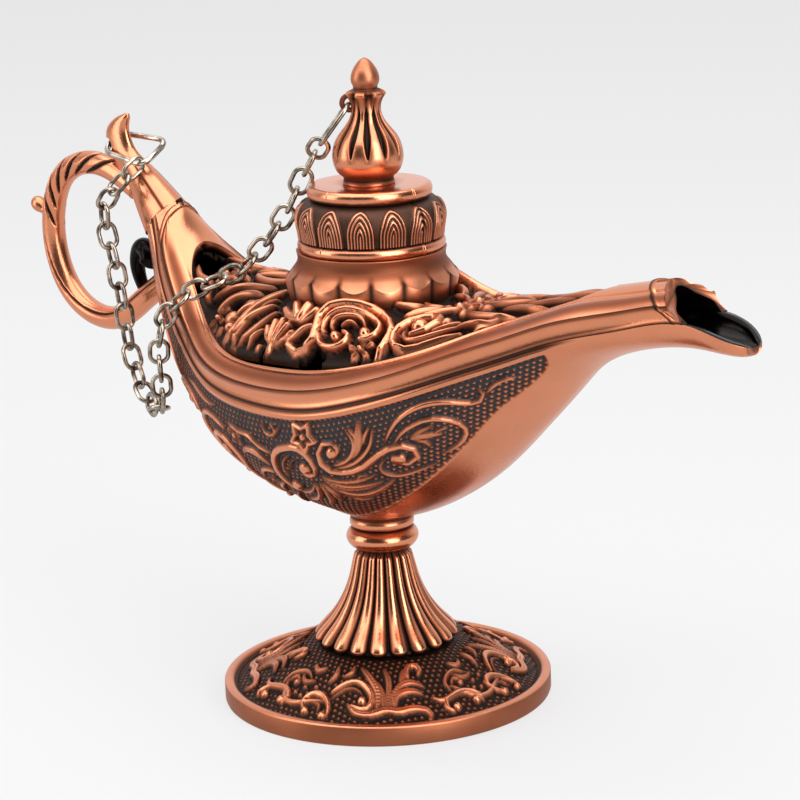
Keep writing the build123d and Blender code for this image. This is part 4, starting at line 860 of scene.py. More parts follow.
# The inner faces are set to 0.03, painted shade that keeps the mouth dark inside.
cover_shade = np.where(outside, np.clip(shade, 0, 1), 0.03)
rows_near, columns = cover_near.shape[:2]
count = rows_near * columns
flat = cover_near.reshape(-1, 3)
both = np.concatenate([flat, flat * [1, -1, 1]])
# Where the crown is closed the two sides share their middle points, and no wall stands there.
closed = np.abs(cover_near[:, OUTER - 1, 1]) < 0.02
shared = np.arange(2 * count)
ends = np.flatnonzero(closed)[:, None] * columns + np.array([[OUTER - 1, OUTER]])
shared[count + ends.ravel()] = ends.ravel()
both[ends.ravel(), 1] = 0
near_faces = grid_faces(rows_near, columns, ring_columns=True)
wall_here = near_faces[:, 0] % columns == OUTER - 1
row_here = near_faces[:, 0] // columns
drop_wall = wall_here & closed[row_here] & closed[np.minimum(row_here + 1, rows_near - 1)]
near_faces = near_faces[~drop_wall]
cover_faces = np.concatenate([near_faces, shared[near_faces[:, ::-1] + count]])
ring = np.arange(columns)
cover_caps = [shared[ring], shared[ring + count - columns][::-1],
              shared[ring + count][::-1], shared[ring + 2 * count - columns]]
cover = make_piece("cover_casting", both, cover_faces, smooth_copper, "lamp",
                   wear_and_shade=np.tile(cover_shade.ravel(), 2), stands_for=["cover"], caps=cover_caps)

# The deck: one pierced casting of scrollwork that drops into the cover's opening. Volutes, a
# shell, leaves and five-petalled flowers are rubbed bright over a black ground, and between
# them the metal is open to the bowl. It is let into the cover's edge and soldered below.
deck_knots = np.array([-51, -45.9, -36.7, -24.6, -5, 7, 20.7, 32.6, 42, 50.5, 59, 66.0])
deck_half = np.array([1.9, 9, 14.5, 21.2, 24.9, 26, 23.7, 17.8, 11.5, 8, 5.4, 1.9])
edge_level = np.array([91.3, 86.1, 79.6, 75.7, 75.2, 76.5, 79.5, 83.5, 87.6, 90.8, 94, 95.6])
ridge_level = np.array([92.2, 88.7, 87.7, 87.7, 93.4, 93.4, 88.6, 89.8, 91.5, 93.1, 95.3, 96.5])
# Ornament of the near side in plan, in millimetres; the far side mirrors it.
deck_strands = [
    strand([(-24.4, -21.2), (-21.4, -18.6), (-19.6, -15.8), (-16.4, -13.6), (-12.2, -12.4)], 1.15,
           2.4, 0.5, 0.3), ball(-23.6, -20.2, 1.3, 2.3),
    strand([(-20.4, -21.8), (-19.2, -18.8), (-17.6, -17.0)], 1.1, 2.0, 0.6, 0.4),
    strand([(-13.4, -14.6), (-16.4, -15.6), (-17.8, -17.8)], 0.6, 1.9, 0.4, 0.5),
    ball(-19.6, -22.6, 1.2, 2.0), ball(-25.4, -16.6, 1.7, 2.4), ball(-22.4, -14.0, 1.4, 2.2),
    ball(-27.6, -18.4, 1.2, 2.0),
    strand([(-21.6, -11.2), (-25.0, -10.2), (-29.0, -11.4), (-31.4, -14.4)], 1.0, 2.3, 0.5, 0.6),
    strand([(-20.8, -8.0), (-25.6, -7.2), (-30.4, -7.6), (-34.0, -10.4)], 1.0, 2.3, 0.4, 0.6),
    strand([(-47.0, -4.6), (-44.4, -6.8), (-41.6, -7.4), (-39.4, -9.6), (-36.6, -12.4)], 1.0, 2.2,
           0.4, 0.5),
    strand([(-35.6, -11.8), (-33.8, -8.8), (-35.0, -5.6), (-38.2, -5.2), (-39.2, -7.2)], 0.8, 2.1,
           0.5, 0.7), ball(-36.8, -7.6, 1.2, 2.2),
    strand([(-21.0, -2.4), (-26.0, -3.2), (-30.6, -2.4), (-33.8, 0.0)], 1.1, 2.3, 0.5, 0.5),
    strand([(-36.0, -2.2), (-34.0, -3.4), (-31.6, -4.8)], 0.9, 2.0, 0.5, 0.4),
    strand([(31.2, -7.0), (34.4, -8.6), (38.2, -9.2), (42.4, -9.0), (46.8, -8.6)], 0.9, 2.3, 0.4),
    strand([(34.6, -13.4), (37.4, -11.6), (40.8, -10.8), (43.6, -8.8)], 0.8, 2.2, 0.4, 0.4),
    ball(40.4, -12.2, 1.7, 2.4), ball(31.0, -4.4, 1.3, 2.2), ball(36.2, -5.6, 1.4, 2.2),
    strand([(42.4, -11.2), (44.2, -12.2), (46.4, -10.6)], 0.75, 2.0, 0.5, 0.4),
    strand([(32.2, -1.8), (36.6, -2.6), (41.0, -1.8), (44.0, 0.0)], 1.0, 2.2, 0.5, 0.5),
    strand([(40.8, -5.8), (45.4, -5.4), (49.6, -6.2), (53.0, -6.2)], 1.0, 2.2, 0.5, 0.2, 0.2),
    strand([(44.6, -3.4), (49.4, -2.6), (54.2, -3.4), (57.6, -3.6)], 1.0, 2.2, 0.5, 0.2, 0.2),
    strand([(48.6, 0.0), (53.4, -0.8), (58.4, -0.8), (63.0, 0.0)], 1.15, 2.3, 0.5, 0.3, 0.2),
    strand([(19.0, -4.6), (21.6, -5.0), (23.0, -3.4)], 0.9, 2.2, 0.5, 0.5),
    strand([(15.6, -9.6), (18.2, -8.2), (19.8, -5.8)], 1.0, 2.3, 0.5, 0.4),
] + blossom(26.6, -3.0, 3.6, 2.6, 6, 0.2)
deck_strands += blossom(-40.6, -2.8, 2.6, 2.3, 5, 0.2) + blossom(-30.2, -15.8, 2.6, 2.3, 5, 0.8)
# The large forms at the front: place along the lamp, and distance up the slope from the edge.
front_strands = [
    strand([(1.0, 2.4), (3.4, 1.2), (5.5, 2.0), (6.6, 5.1), (5.9, 8.0), (6.2, 11.0), (8.6, 12.8),
            (12.1, 13.2), (16.1, 11.5), (19.4, 7.9), (20.6, 3.8), (20.4, 0.6)], 0.95, 2.9, 0.8, 0.7),
    strand([(8.0, 5.4), (7.4, 8.8), (8.9, 11.1), (11.9, 11.5), (15.6, 9.9), (17.7, 7.2),
            (17.2, 5.2), (15.4, 4.9)], 0.72, 2.7, 0.5, 0.8), ball(15.6, 6.4, 1.35, 2.9),
    strand([(9.2, 6.6), (8.9, 9.0), (10.8, 10.2), (13.6, 9.6), (14.6, 8.2)], 0.6, 2.4, 0.5, 0.5),
    strand([(10.6, 7.4), (11.6, 8.8), (13.2, 8.2)], 0.5, 2.2, 0.4, 0.4),
    strand([(6.9, 6.0), (8.0, 3.9), (10.4, 2.9), (12.6, 3.7), (12.9, 5.6), (11.6, 6.4)], 0.75, 2.6,
           0.5, 0.8), ball(10.6, 5.3, 1.2, 2.8),
    strand([(6.0, 7.4), (3.6, 6.2), (2.0, 4.2), (0.2, 3.4)], 0.9, 2.4, 0.3, 0.7),
    strand([(1.2, 7.6), (-1.2, 8.4), (-2.9, 9.6)], 1.0, 2.5, 0.5, 0.9),
    strand([(1.3, 7.4), (0.2, 9.4), (-0.9, 11.0)], 1.05, 2.7, 0.5, 0.9),
    strand([(1.6, 7.4), (1.8, 9.6), (2.0, 11.2)], 1.05, 2.7, 0.5, 0.9),
    strand([(2.0, 7.2), (3.6, 8.8), (4.4, 10.4)], 0.95, 2.5, 0.5, 0.9),
    strand([(-3.2, 1.8), (-4.6, 3.8), (-5.4, 5.6)], 0.7, 2.3, 0.3, 0.9),
    strand([(-3.1, 1.8), (-3.8, 4.6), (-4.0, 7.0)], 0.7, 2.4, 0.3, 0.9),
    strand([(-2.9, 1.8), (-2.6, 4.8), (-2.3, 7.4)], 0.7, 2.4, 0.3, 0.9),
    strand([(-2.7, 1.8), (-1.4, 4.4), (-0.7, 6.6)], 0.7, 2.4, 0.3, 0.9),
    strand([(-2.5, 1.8), (-0.5, 3.2), (0.9, 5.2)], 0.7, 2.2, 0.3, 0.9), ball(-3.3, 1.3, 1.15, 2.6),
    strand([(-11.4, 1.2), (-9.4, 3.6), (-7.2, 6.2), (-5.0, 9.2)], 0.9, 2.5, 0.5, 0.3, 0.15),
    strand([(-8.8, 0.9), (-7.8, 3.2), (-6.2, 5.0)], 0.8, 2.3, 0.5, 0.4),
    strand([(-13.6, 3.2), (-12.0, 6.2), (-9.6, 8.8), (-6.8, 10.6)], 0.9, 2.5, 0.5, 0.3),
    ball(-13.0, 2.0, 1.1, 2.4), ball(-15.8, 3.4, 1.2, 2.4), ball(-6.2, 1.2, 0.9, 2.2),
    strand([(-15.6, 6.4), (-13.8, 9.4), (-10.8, 11.6)], 0.85, 2.4, 0.5, 0.4),
    strand([(33.6, 0.8), (29.0, 0.9), (25.0, 0.9), (22.1, 3.3), (20.9, 6.6), (21.4, 9.8),
            (23.6, 11.0), (26.2, 9.8), (27.2, 7.4), (26.2, 5.3), (24.2, 5.0)], 0.9, 2.8, 0.3, 0.7),
    ball(24.1, 7.9, 1.7, 3.0),
    strand([(33.0, 2.6), (29.4, 2.6), (26.0, 2.7), (23.4, 4.4), (22.3, 7.0)], 0.65, 2.4, 0.3, 0.4),
    strand([(32.4, 4.3), (30.0, 4.3), (27.8, 4.4)], 0.6, 2.2, 0.3, 0.6),
    strand([(21.6, 12.0), (23.8, 14.6), (26.8, 14.8)], 0.85, 2.4, 0.5, 0.6),
    strand([(27.6, 12.6), (29.4, 10.6), (30.4, 8.0)], 0.85, 2.4, 0.5, 0.6), ball(29.0, 6.6, 1.2, 2.4),
    strand([(28.6, 14.2), (31.0, 12.2), (32.4, 9.6)], 0.85, 2.4, 0.5, 0.6),
    strand([(19.2, 12.2), (20.2, 14.8), (22.4, 17.2)], 0.9, 2.4, 0.5, 0.6),
] + blossom(16.6, 2.7, 2.5, 2.7, 5, 0.5)
# Where the casting is open, unless a line crosses: centre and half-lengths of ovals in plan.
openings = np.array([
    (-46.6, 0.0, 4.2, 5.0), (-41.8, -8.6, 3.0, 3.0), (-28.2, -13.6, 2.6, 1.8),
    (-26.4, -5.2, 3.6, 1.6), (-20.6, -24.0, 3.4, 1.4), (-9.8, -24.4, 3.2, 1.8),
    (5.6, -24.6, 4.0, 1.6), (8.8, -18.4, 3.4, 3.4), (19.4, -21.4, 3.6, 3.6),
    (23.6, -17.6, 2.8, 1.8), (18.2, -16.4, 1.8, 3.4), (31.2, -9.6, 2.4, 1.6),
    (41.6, -12.4, 4.6, 2.2), (48.2, -9.2, 4.0, 1.6), (-0.8, -17.6, 1.2, 3.4),
    (-17.8, -20.0, 1.8, 1.6), (36.0, -7.4, 2.0, 1.0), (-33.6, -2.6, 1.8, 1.2)])
DECK_ROWS, DECK_COLUMNS, DECK_WALL = 350, 106, 1.5
deck_x = np.linspace(OPEN_TAIL + 0.25, OPEN_SPOUT - 0.25, DECK_ROWS)[:, None]
out_share = np.linspace(0, 1, DECK_COLUMNS)[None]
deck_y = -out_share * (opening(deck_x.ravel())[:, None] - 0.12)
deck_x = deck_x + 0 * deck_y


def deck_surface(x, y):
    """The deck's smooth level: its ridge less a share of the fall to its edge, and that share is
    the place across over a little more than the half-width, cubed."""
    rows = through(deck_knots, np.stack([edge_level, ridge_level, deck_half], -1), x.ravel())
    edge, ridge, half = (part.reshape(x.shape) for part in rows.T)
    return ridge - (ridge - edge) * np.abs(y / (half + 1.0)) ** 3.0


# The ornament is laid out by place along the lamp and by distance down the deck's slope.
FINE_ROWS, FINE_COLUMNS, FINE_REACH = 160, 200, 27
across_fine = np.linspace(0, -FINE_REACH, FINE_COLUMNS)
fine_x = np.linspace(OPEN_TAIL, OPEN_SPOUT, FINE_ROWS)[:, None] + 0 * across_fine
fine_z = deck_surface(fine_x, across_fine + 0 * fine_x)
slope_fine = np.concatenate([np.zeros((FINE_ROWS, 1)), np.hypot(
    np.diff(across_fine), np.diff(fine_z, axis=1)).cumsum(1)], 1)


def down_slope(x, y):
    """Distance walked from the ridge down to each plan point, read between a table's rows."""
    row = np.clip((x - OPEN_TAIL) / (OPEN_SPOUT - OPEN_TAIL), 0, 0.99999) * (FINE_ROWS - 1)
    column = np.clip(-y / FINE_REACH, 0, 0.99999) * (FINE_COLUMNS - 1)
    i, j = row.astype(int), column.astype(int)
    u, v = row - i, column - j
    table = slope_fine
    return -((1 - u) * ((1 - v) * table[i, j] + v * table[i, j + 1])
             + u * ((1 - v) * table[i + 1, j] + v * table[i + 1, j + 1]))


laid = [(np.stack([line[:, 0], down_slope(line[:, 0], line[:, 1])], -1), half * 1.25, lift, hollow)
        for line, half, lift, hollow in deck_strands]
# The front forms are spread along the lamp from its twelfth millimetre and a little up the slope.
for line, half, lift, hollow in front_strands:
    spread = 12 + (line[:, 0] - 12) * np.where(line[:, 0] < 12, 1.3, 1.13)
    from_edge = line[:, 1] * 1.08 + down_slope(spread, -opening(spread))
    laid.append((np.stack([spread, from_edge], -1), half * 1.2, lift, hollow))
lines = raised(deck_x, down_slope(deck_x, deck_y), laid)
oval = ((deck_x[..., None] - openings[:, 0]) / openings[:, 2]) ** 2 + (
    (deck_y[..., None] - openings[:, 1]) / openings[:, 3]) ** 2
open_here = (oval.min(-1) < 1) & (lines < 0.02)
smooth_deck = np.stack([deck_x, deck_y, deck_surface(deck_x, deck_y)], -1)
deck_normal = normals(smooth_deck)
deck_normal = deck_normal * np.sign(deck_normal[..., 2:])
to_edge = (1 - out_share) * opening(deck_x[:, 0])[:, None]
fringe = np.clip(to_edge / 1.5, 0.0, 1)
lean = deck_normal * np.stack([fringe, fringe, np.ones_like(fringe)], -1)
deck_ground = smooth_deck - 2.1 * lean * [1, 0.5, 1]
top_points = deck_ground + lines[..., None] * lean * (0.45 + 0.55 * fringe)[..., None]
top_points[..., 1] = np.minimum(top_points[..., 1], 0)
top_points[..., 1] = np.maximum(top_points[..., 1],
                                -(opening(deck_x[:, 0])[:, None] - 0.1 + 0.25 * (1 - fringe)))
under_points = deck_ground - [0, 0, DECK_WALL]
above, below = top_points.reshape(-1, 3), under_points.reshape(-1, 3)
deck_faces = grid_faces(DECK_ROWS, DECK_COLUMNS)
solid = (~open_here.ravel()[deck_faces]).any(1)
grid_solid = np.pad(solid.reshape(DECK_ROWS - 1, DECK_COLUMNS - 1), 1)
faces_up = deck_faces[solid]
deck_count = deck_x.size
walls = []
for axis, shift, first, second in ((0, 1, 0, 1), (0, -1, 2, 3), (1, 1, 3, 0), (1, -1, 1, 2)):
    bare = solid & ~np.roll(grid_solid, shift, axis)[1:-1, 1:-1].ravel()
    a, b = deck_faces[bare, first], deck_faces[bare, second]
    walls.append(np.stack([a, a + deck_count, b + deck_count, b], -1))
deck_all = np.concatenate([faces_up, faces_up[:, ::-1] + deck_count, *walls])
deck_points = np.concatenate([above, below])
deck_shade = np.clip(lines * 0.62 - 0.55, 0.0, 0.9)
# The underside is set to 0, painted shade that keeps the openings and the space under the deck dark.
deck_wear_and_shade = np.concatenate([deck_shade.ravel(), np.zeros(deck_count)])
used = np.unique(deck_all)
renumber = np.zeros(len(deck_points), int)
renumber[used] = np.arange(len(used))
deck_copper = copper("deck_copper", Gloss=0.2, Dull=0.5)
for name, mirror in (("deck_near", 1), ("deck_far", -1)):
    deck = make_piece(name, deck_points[used] * [1, mirror, 1],
                      renumber[deck_all][:, ::-mirror], deck_copper, "lamp",
                      wear_and_shade=deck_wear_and_shade[used], stands_for=["deck_scrollwork"])


# The neck: a round collar soldered on the deck. Its foot flares into sixteen round scallops,
# and the lid's spigot drops into it. It is brushed, and brown in the hollow.
NECK_STEPS, SCALLOPS = 384, 16
neck_turn = np.linspace(0, 2 * np.pi, NECK_STEPS, endpoint=False)[None]
neck_line = smooth_line([(15.65, 96.9), (15.45, 96.1), (15.4, 95.3), (15.6, 94.5), (16.3, 93.5),
                         (17.3, 92.4), (18.2, 91.5)], 40)
part_way = np.linspace(0, 1, 40)[:, None]
scallop = np.abs(np.sin(SCALLOPS * neck_turn / 2 + 0.4))
strong = np.clip((part_way - 0.45) / 0.55, 0, 1)
neck_r = neck_line[:, :1] + strong * (scallop * 0.9 - 0.85)
neck_z = neck_line[:, 1:] + strong ** 2 * (0.9 - scallop * 1.5)
neck_points = np.stack([neck_r * np.cos(neck_turn), neck_r * np.sin(neck_turn), neck_z], -1)
neck_inner = turned([(17.0, 85.6), (13.5, 84.6), (13.5, 96.2), (13.9, 96.9)], NECK_STEPS)
neck_points = np.concatenate([neck_points, neck_inner])
neck_wear_and_shade = 0.58 - 0.24 * np.sin(np.pi * np.clip(part_way / 0.7, 0, 1)) + strong * (
    0.20 * scallop - 0.62 * np.exp(-(scallop / 0.25) ** 2))
# The inner wall, which shows below the scallops, is set to 0.1: painted shade for the gap under them.
neck_wear_and_shade = np.concatenate([np.clip(neck_wear_and_shade + 0 * neck_turn, 0, 1), np.full((4, NECK_STEPS), 0.1)])
neck = make_piece("neck_casting", neck_points,
                  grid_faces(len(neck_points), NECK_STEPS, True, True), smooth_copper,
                  "lamp", wear_and_shade=neck_wear_and_shade, stands_for=["neck_collar"])

# The lid: two half castings pinned together, whose joint shows as a small step on the spout
# side. A bead sits on the neck, fourteen pointed petals of nested ridges stand round the drum
# over a brown ground, and a thick disc closes it. Its spigot drops loose into the neck.
LID_STEPS, PETALS, PETAL_WIDE, PETAL_TALL, RIDGES = 980, 14, 2.9, 6.6, 4.6
lid_profile = smooth_line([(14.5, 99.55), (14.75, 101.4), (15.05, 103.2), (14.9, 105.0),
                           (14.2, 106.4), (12.7, 107.3), (11.7, 107.6)], 70)
lid_turn = np.linspace(0, 2 * np.pi, LID_STEPS, endpoint=False)[None]
lid_run = np.concatenate([[0], np.cumsum(np.linalg.norm(np.diff(lid_profile, axis=0), axis=1))])
petal_turn = (lid_turn + math.radians(54.8)) * PETALS / (2 * np.pi)
aside = np.abs((petal_turn + 0.5) % 1 - 0.5) * 2 * np.pi / PETALS * 14.9
height_up = np.maximum(lid_run[:, None] - 1.9, 0)
# A point's level in the pointed arch is 0 at its foot's middle and 1 on its outline: the side
# share to the power 1.5 and the height share squared, added, and the root of that.
level = ((aside / PETAL_WIDE) ** 1.5 + (height_up / PETAL_TALL) ** 2) ** (1 / 1.7)
petal = np.clip((1 - level) / 0.06, 0, 1)
ridges = 0.5 + 0.5 * np.cos(2 * np.pi * RIDGES * level - 0.9)
raise_by = petal * (0.30 + 0.34 * ridges ** 0.8)
seam_side = np.clip(np.sin(lid_turn - math.radians(-2)) * 40, -1, 1) * (np.cos(lid_turn) > 0)
seam_line = np.exp(-((np.angle(np.exp(1j * (lid_turn - math.radians(-2)))) * 14.5) / 0.16) ** 2)
lid_radius = lid_profile[:, :1] + raise_by - 0.3 * seam_line + 0.12 * seam_side
drum = np.stack([lid_radius * np.cos(lid_turn), lid_radius * np.sin(lid_turn),
                 lid_profile[:, 1:] + 0 * lid_turn], -1)
lid_foot = [(11.6, 90.9), (13.2, 90.9), (13.2, 96.9), (14.6, 96.9), (15.1, 97.15), (15.32, 97.7),
            (15.36, 98.2), (15.2, 98.75), (14.9, 99.1), (14.4, 99.25), (14.2, 99.4)]
lid_crown = [(11.45, 107.9), (11.9, 107.85), (12.5, 107.95), (12.85, 108.4), (12.95, 108.95),
             (12.95, 109.5), (12.75, 110.1), (12.3, 110.42), (11.6, 110.5), (8.0, 110.5),
             (1.55, 110.5), (1.55, 108.6), (9.9, 108.6), (9.9, 107.6), (11.6, 106.0)]
foot_part, crown_part = turned(lid_foot, LID_STEPS), turned(lid_crown, LID_STEPS)
step_by = 1 + (0.12 * seam_side - 0.28 * seam_line) / 14.0
foot_part[3:, :, :2] *= step_by[..., None]
crown_part[:9, :, :2] *= step_by[..., None]
lid_points = np.concatenate([foot_part, drum, crown_part])
foot_shade = [0.1, 0.3, 0.4, 0.1, 0.75, 0.9, 0.92, 0.85, 0.6, 0.1, 0.03]
crown_shade = [0.1, 0.3, 0.6, 0.8, 0.9, 0.9, 0.88, 0.85, 0.95, 0.95, 0.5, 0.1, 0.1, 0.1, 0.1]
drum_shade = 0.2 * np.clip(lid_run / 3, 0.6, 1)[:, None] * (1 - petal) + petal * (
    0.10 + 0.80 * ridges)
drum_shade = np.clip(drum_shade - 0.7 * seam_line, 0, 1)
lid_worn = np.concatenate([np.repeat(np.array(foot_shade)[:, None], LID_STEPS, 1), drum_shade,
                           np.repeat(np.array(crown_shade)[:, None], LID_STEPS, 1)])
lid = make_piece("lid_castings", lid_points,
                 grid_faces(len(lid_points), LID_STEPS, True, True)[:, ::-1],
                 copper("lid_copper", Gloss=0.2, Brown=(0.16, 0.075, 0.05, 1)), "lid",
                 wear_and_shade=lid_worn, stands_for=["lid_near", "lid_far"])


# The finial: an onion of twelve lobes on a smooth belly, with a waist, a collar of leaves and an
# egg-shaped bud, and a small cast eye toward the tail. A stud holds it to the lid from inside.
FINIAL_STEPS, LOBES, FINIAL_FOOT, FINIAL_TALL, FINIAL_WIDE = 360, 12, 110.5, 25.9, 7.4
EYE_RADIUS, EYE_WIRE = 1.5, 0.55
finial_line = smooth_line([(5.3, 0.0), (5.25, 0.7), (5.15, 1.1), (5.9, 2.0), (6.9, 3.4), (7.35, 5.2),
                           (7.15, 7.2), (6.3, 9.4), (4.9, 11.3), (3.7, 13.0), (2.95, 15.0),
                           (2.75, 17.2), (3.0, 18.3), (3.1, 18.9), (2.6, 19.4), (2.5, 19.8),
                           (2.85, 20.8), (2.95, 21.8), (2.6, 23.2), (1.75, 24.6), (0.75, 25.6),
                           (0.05, FINIAL_TALL)], 190)
finial_turn = np.linspace(0, 2 * np.pi, FINIAL_STEPS, endpoint=False)[None]
tall = finial_line[:, 1:]
lobe_across = np.abs((finial_turn * LOBES / (2 * np.pi) + 0.5 + 0.05) % 1 - 0.5) * 2
# The valleys open upward from points on the belly: their half-width is a share of the pitch.
valley_wide = 0.58 * np.clip((tall - 5.8) / 4.4, 0, 1) ** 0.6 * np.clip((16.4 - tall) / 1.8, 0, 1)
valley = np.clip((lobe_across - (1 - valley_wide)) / np.maximum(valley_wide * 0.5, 0.02), 0, 1)
valley = valley * (tall > 4.6)
# Six leaves stand out from the waist, each rising to a curled tip, with gaps down to the waist.
leaf_rise = np.clip((tall - 14.4) / 4.0, 0, 1) ** 1.5 * np.clip((19.5 - tall) / 1.1, 0, 1) ** 0.5
leaf_across = np.abs(np.cos(finial_turn * 3 + 0.3))
leaf = leaf_rise * np.clip((leaf_across - 0.42) / 0.35, 0, 1)
round_lobe = np.sqrt(np.clip(1 - (lobe_across * 0.8) ** 2, 0, 1)) - 0.8
finial_radius = finial_line[:, :1] * (1 - 0.16 * valley) + leaf * 1.15 + round_lobe * 0.6 * (
    np.clip((tall - 4.6) / 3, 0, 1) * np.clip((18 - tall) / 3, 0, 1))
finial_points = np.stack([finial_radius * np.cos(finial_turn), finial_radius * np.sin(finial_turn),
                          FINIAL_FOOT + tall + 0 * finial_turn], -1)
finial_bore = turned([(0.03, 136.36), (0.03, 118.6), (1.55, 118.0), (1.55, 110.5)], FINIAL_STEPS)
finial_points = np.concatenate([finial_points, finial_bore])
# The lobes darken towards their sides, painted shade that narrows their highlights.
finial_wear_and_shade = 0.84 - 0.2 * (tall > 19.6) - 0.3 * lobe_across ** 2 * (tall > 5) * (tall < 18)
finial_wear_and_shade = finial_wear_and_shade - 0.84 * valley - 0.75 * np.exp(-((tall - 1.0) / 0.55) ** 2)
# The groove under the bud is dark, and the gaps between the leaves are darkened as painted shade.
finial_wear_and_shade = finial_wear_and_shade - 0.6 * np.exp(-((tall - 19.6) / 0.35) ** 2) - 0.8 * leaf_rise * (
    1 - leaf)
finial_wear_and_shade = finial_wear_and_shade - 0.35 * np.exp(-((tall - 2.4) / 1.0) ** 2)
finial_wear_and_shade = np.concatenate([np.clip(finial_wear_and_shade, 0, 1) + 0 * finial_turn,
                              np.full((4, FINIAL_STEPS), 0.1)])
finial_copper = copper("finial_copper", Gloss=0.2)
finial = make_piece("finial_casting", finial_points,
                    grid_faces(len(finial_points), FINIAL_STEPS, True, True)[:, ::-1],
                    finial_copper, "lid", wear_and_shade=finial_wear_and_shade, stands_for=["finial"])


def tube(name, line, radius, finish, body, stands_for, closed=False, sides=24, wear_and_shade=None,
         sideways=None, relief=None, squash=1.0):
    """A round bar along a line. Each ring stands square to the line, and its sideways direction
    is the given one, or the y axis, less its part along the line at that ring."""
    line = np.asarray(line, float)
    if closed:
        way = np.roll(line, -1, 0) - np.roll(line, 1, 0)
    else:
        way = np.gradient(line, axis=0)
    way /= np.linalg.norm(way, axis=1, keepdims=True)
    first = np.array([0.0, 1.0, 0.0] if sideways is None else sideways)
    first = first - way * (way @ first)[:, None]
    first /= np.linalg.norm(first, axis=1, keepdims=True)
    second = np.cross(way, first)
    turn = np.linspace(0, 2 * np.pi, sides, endpoint=False)
    radius = np.broadcast_to(np.asarray(radius, float).reshape(-1, 1), (len(line), 1))
    reach = radius + (0 if relief is None else relief)
    points = line[:, None] + (reach * np.cos(turn))[..., None] * first[:, None] + (
        squash * reach * np.sin(turn))[..., None] * second[:, None]
    caps = () if closed else (list(range(sides)), list(range(len(line) * sides - 1,
                                                            len(line) * sides - sides - 1, -1)))
    shade = None if wear_and_shade is None else wear_and_shade + np.zeros(points.shape[:2])
    return make_piece(name, points, grid_faces(len(line), sides, closed, True)[:, ::-1], finish,
                      body, wear_and_shade=shade, stands_for=stands_for, caps=caps)


eye_out = np.array([-math.cos(math.radians(43)), -math.sin(math.radians(43)), 0.0])
eye_centre = eye_out * 0.460 * FINIAL_WIDE + np.array([0, 0, FINIAL_FOOT + 0.645 * FINIAL_TALL])
eye_turn = np.linspace(0, 2 * np.pi, 40, endpoint=False)[:, None]
eye_line = eye_centre + EYE_RADIUS * (np.cos(eye_turn) * eye_out + np.sin(eye_turn) * [0, 0, 1.0])
eye_side = np.cross(eye_out, [0, 0, 1.0])
eye_piece = tube("finial_eye", eye_line, EYE_WIRE, finial_copper, "lid", ["finial"], closed=True,
                 sides=16, wear_and_shade=0.3, sideways=eye_side)

# The horn: the tail of the lamp runs on up into a blade that curls back over the loop, with an
# eye drilled through it for the ring. It is one casting with the loop, brazed on at the tail.
horn_front = np.concatenate([[rim[0] + upward[0] * 5.2], places(
    np.array([-0.955, -1.038, -1.080, -1.096, -1.078]),
    np.array([1.083, 1.150, 1.196, 1.250, 1.312]))])
horn_rear = np.concatenate([[keel[0]], places(
    np.array([-1.050, -1.107, -1.186, -1.192, -1.104]),
    np.array([0.970, 1.067, 1.170, 1.250, 1.318]))])
horn_half = np.array([4.59, 3.6, 2.5, 1.75, 1.5, 0.8])
horn_run = np.concatenate([[0], np.cumsum(np.linalg.norm(
    np.diff((horn_front + horn_rear) / 2, axis=0), axis=1))])
HORN_ROWS, HORN_SIDES = 150, 96
horn_at = np.linspace(0, horn_run[-1], HORN_ROWS)
horn_table = through(horn_run, np.concatenate([horn_front, horn_rear, horn_half[:, None]], 1),
                     horn_at)
front, rear, half = horn_table[:, :3], horn_table[:, 3:6], horn_table[:, 6:]
oval_turn = np.linspace(0, 2 * np.pi, HORN_SIDES, endpoint=False)[None]
# Each ring is an oval between the front and the rear line, a little fuller than an ellipse: the
# cosine and sine are raised to the power 0.9. The last rings draw in to a rounded tip.
draw_in = np.sqrt(np.clip(1 - (np.clip((horn_at - horn_run[-1] + 2.2) / 2.2, 0, 1)) ** 2, 0, 1))
draw_in = np.maximum(draw_in, 0.04)[:, None]
cosine, sine = np.cos(oval_turn), np.sin(oval_turn)
cosine, sine = np.sign(cosine) * np.abs(cosine) ** 0.9, np.sign(sine) * np.abs(sine) ** 0.9
horn_points = (front + rear)[:, None] / 2 + (cosine * draw_in)[..., None] * (
    (front - rear)[:, None] / 2)
horn_points = horn_points + (sine * half * draw_in)[..., None] * np.array([0, 1.0, 0])
# Two fine lines run up the front edge of each side and meet the arch of the cover.
edge_line = np.exp(-((np.abs(oval_turn - np.pi) - 2.32) / 0.07) ** 2) * np.clip(
    1 - (horn_at[:, None] - 9) / 9, 0, 1)
horn_points = horn_points + normals(horn_points, False, True) * 0.3 * edge_line[..., None]
horn_worn = np.clip(0.84 - 0.75 * edge_line + 0 * horn_at[:, None], 0, 1)
horn_caps = [list(range(HORN_SIDES)),
             list(range(HORN_ROWS * HORN_SIDES - 1, (HORN_ROWS - 1) * HORN_SIDES - 1, -1))]
horn = make_piece("horn_casting", horn_points,
                  grid_faces(HORN_ROWS, HORN_SIDES, ring_columns=True)[:, ::-1], smooth_copper,
                  "lamp", wear_and_shade=horn_worn, stands_for=["tail_horn"], caps=horn_caps)
ring_side = np.array([0, math.cos(math.radians(30)), math.sin(math.radians(30))])
ring_reach = np.array([math.cos(math.radians(8)), 0, -math.sin(math.radians(8))])
ring_reach = ring_reach - ring_side * (ring_reach @ ring_side)
ring_reach /= np.linalg.norm(ring_reach)
ring_start = places(np.array([-1.179]), np.array([1.198]))[0]
drill_turn = np.linspace(0, 2 * np.pi, 40, endpoint=False)[None]
drill_at = np.array([[-8.0], [8.0]])
drill_up = np.cross(ring_side, ring_reach)
drill = ring_start + 1.7 * (np.cos(drill_turn)[..., None] * ring_reach
                            + np.sin(drill_turn)[..., None] * drill_up)
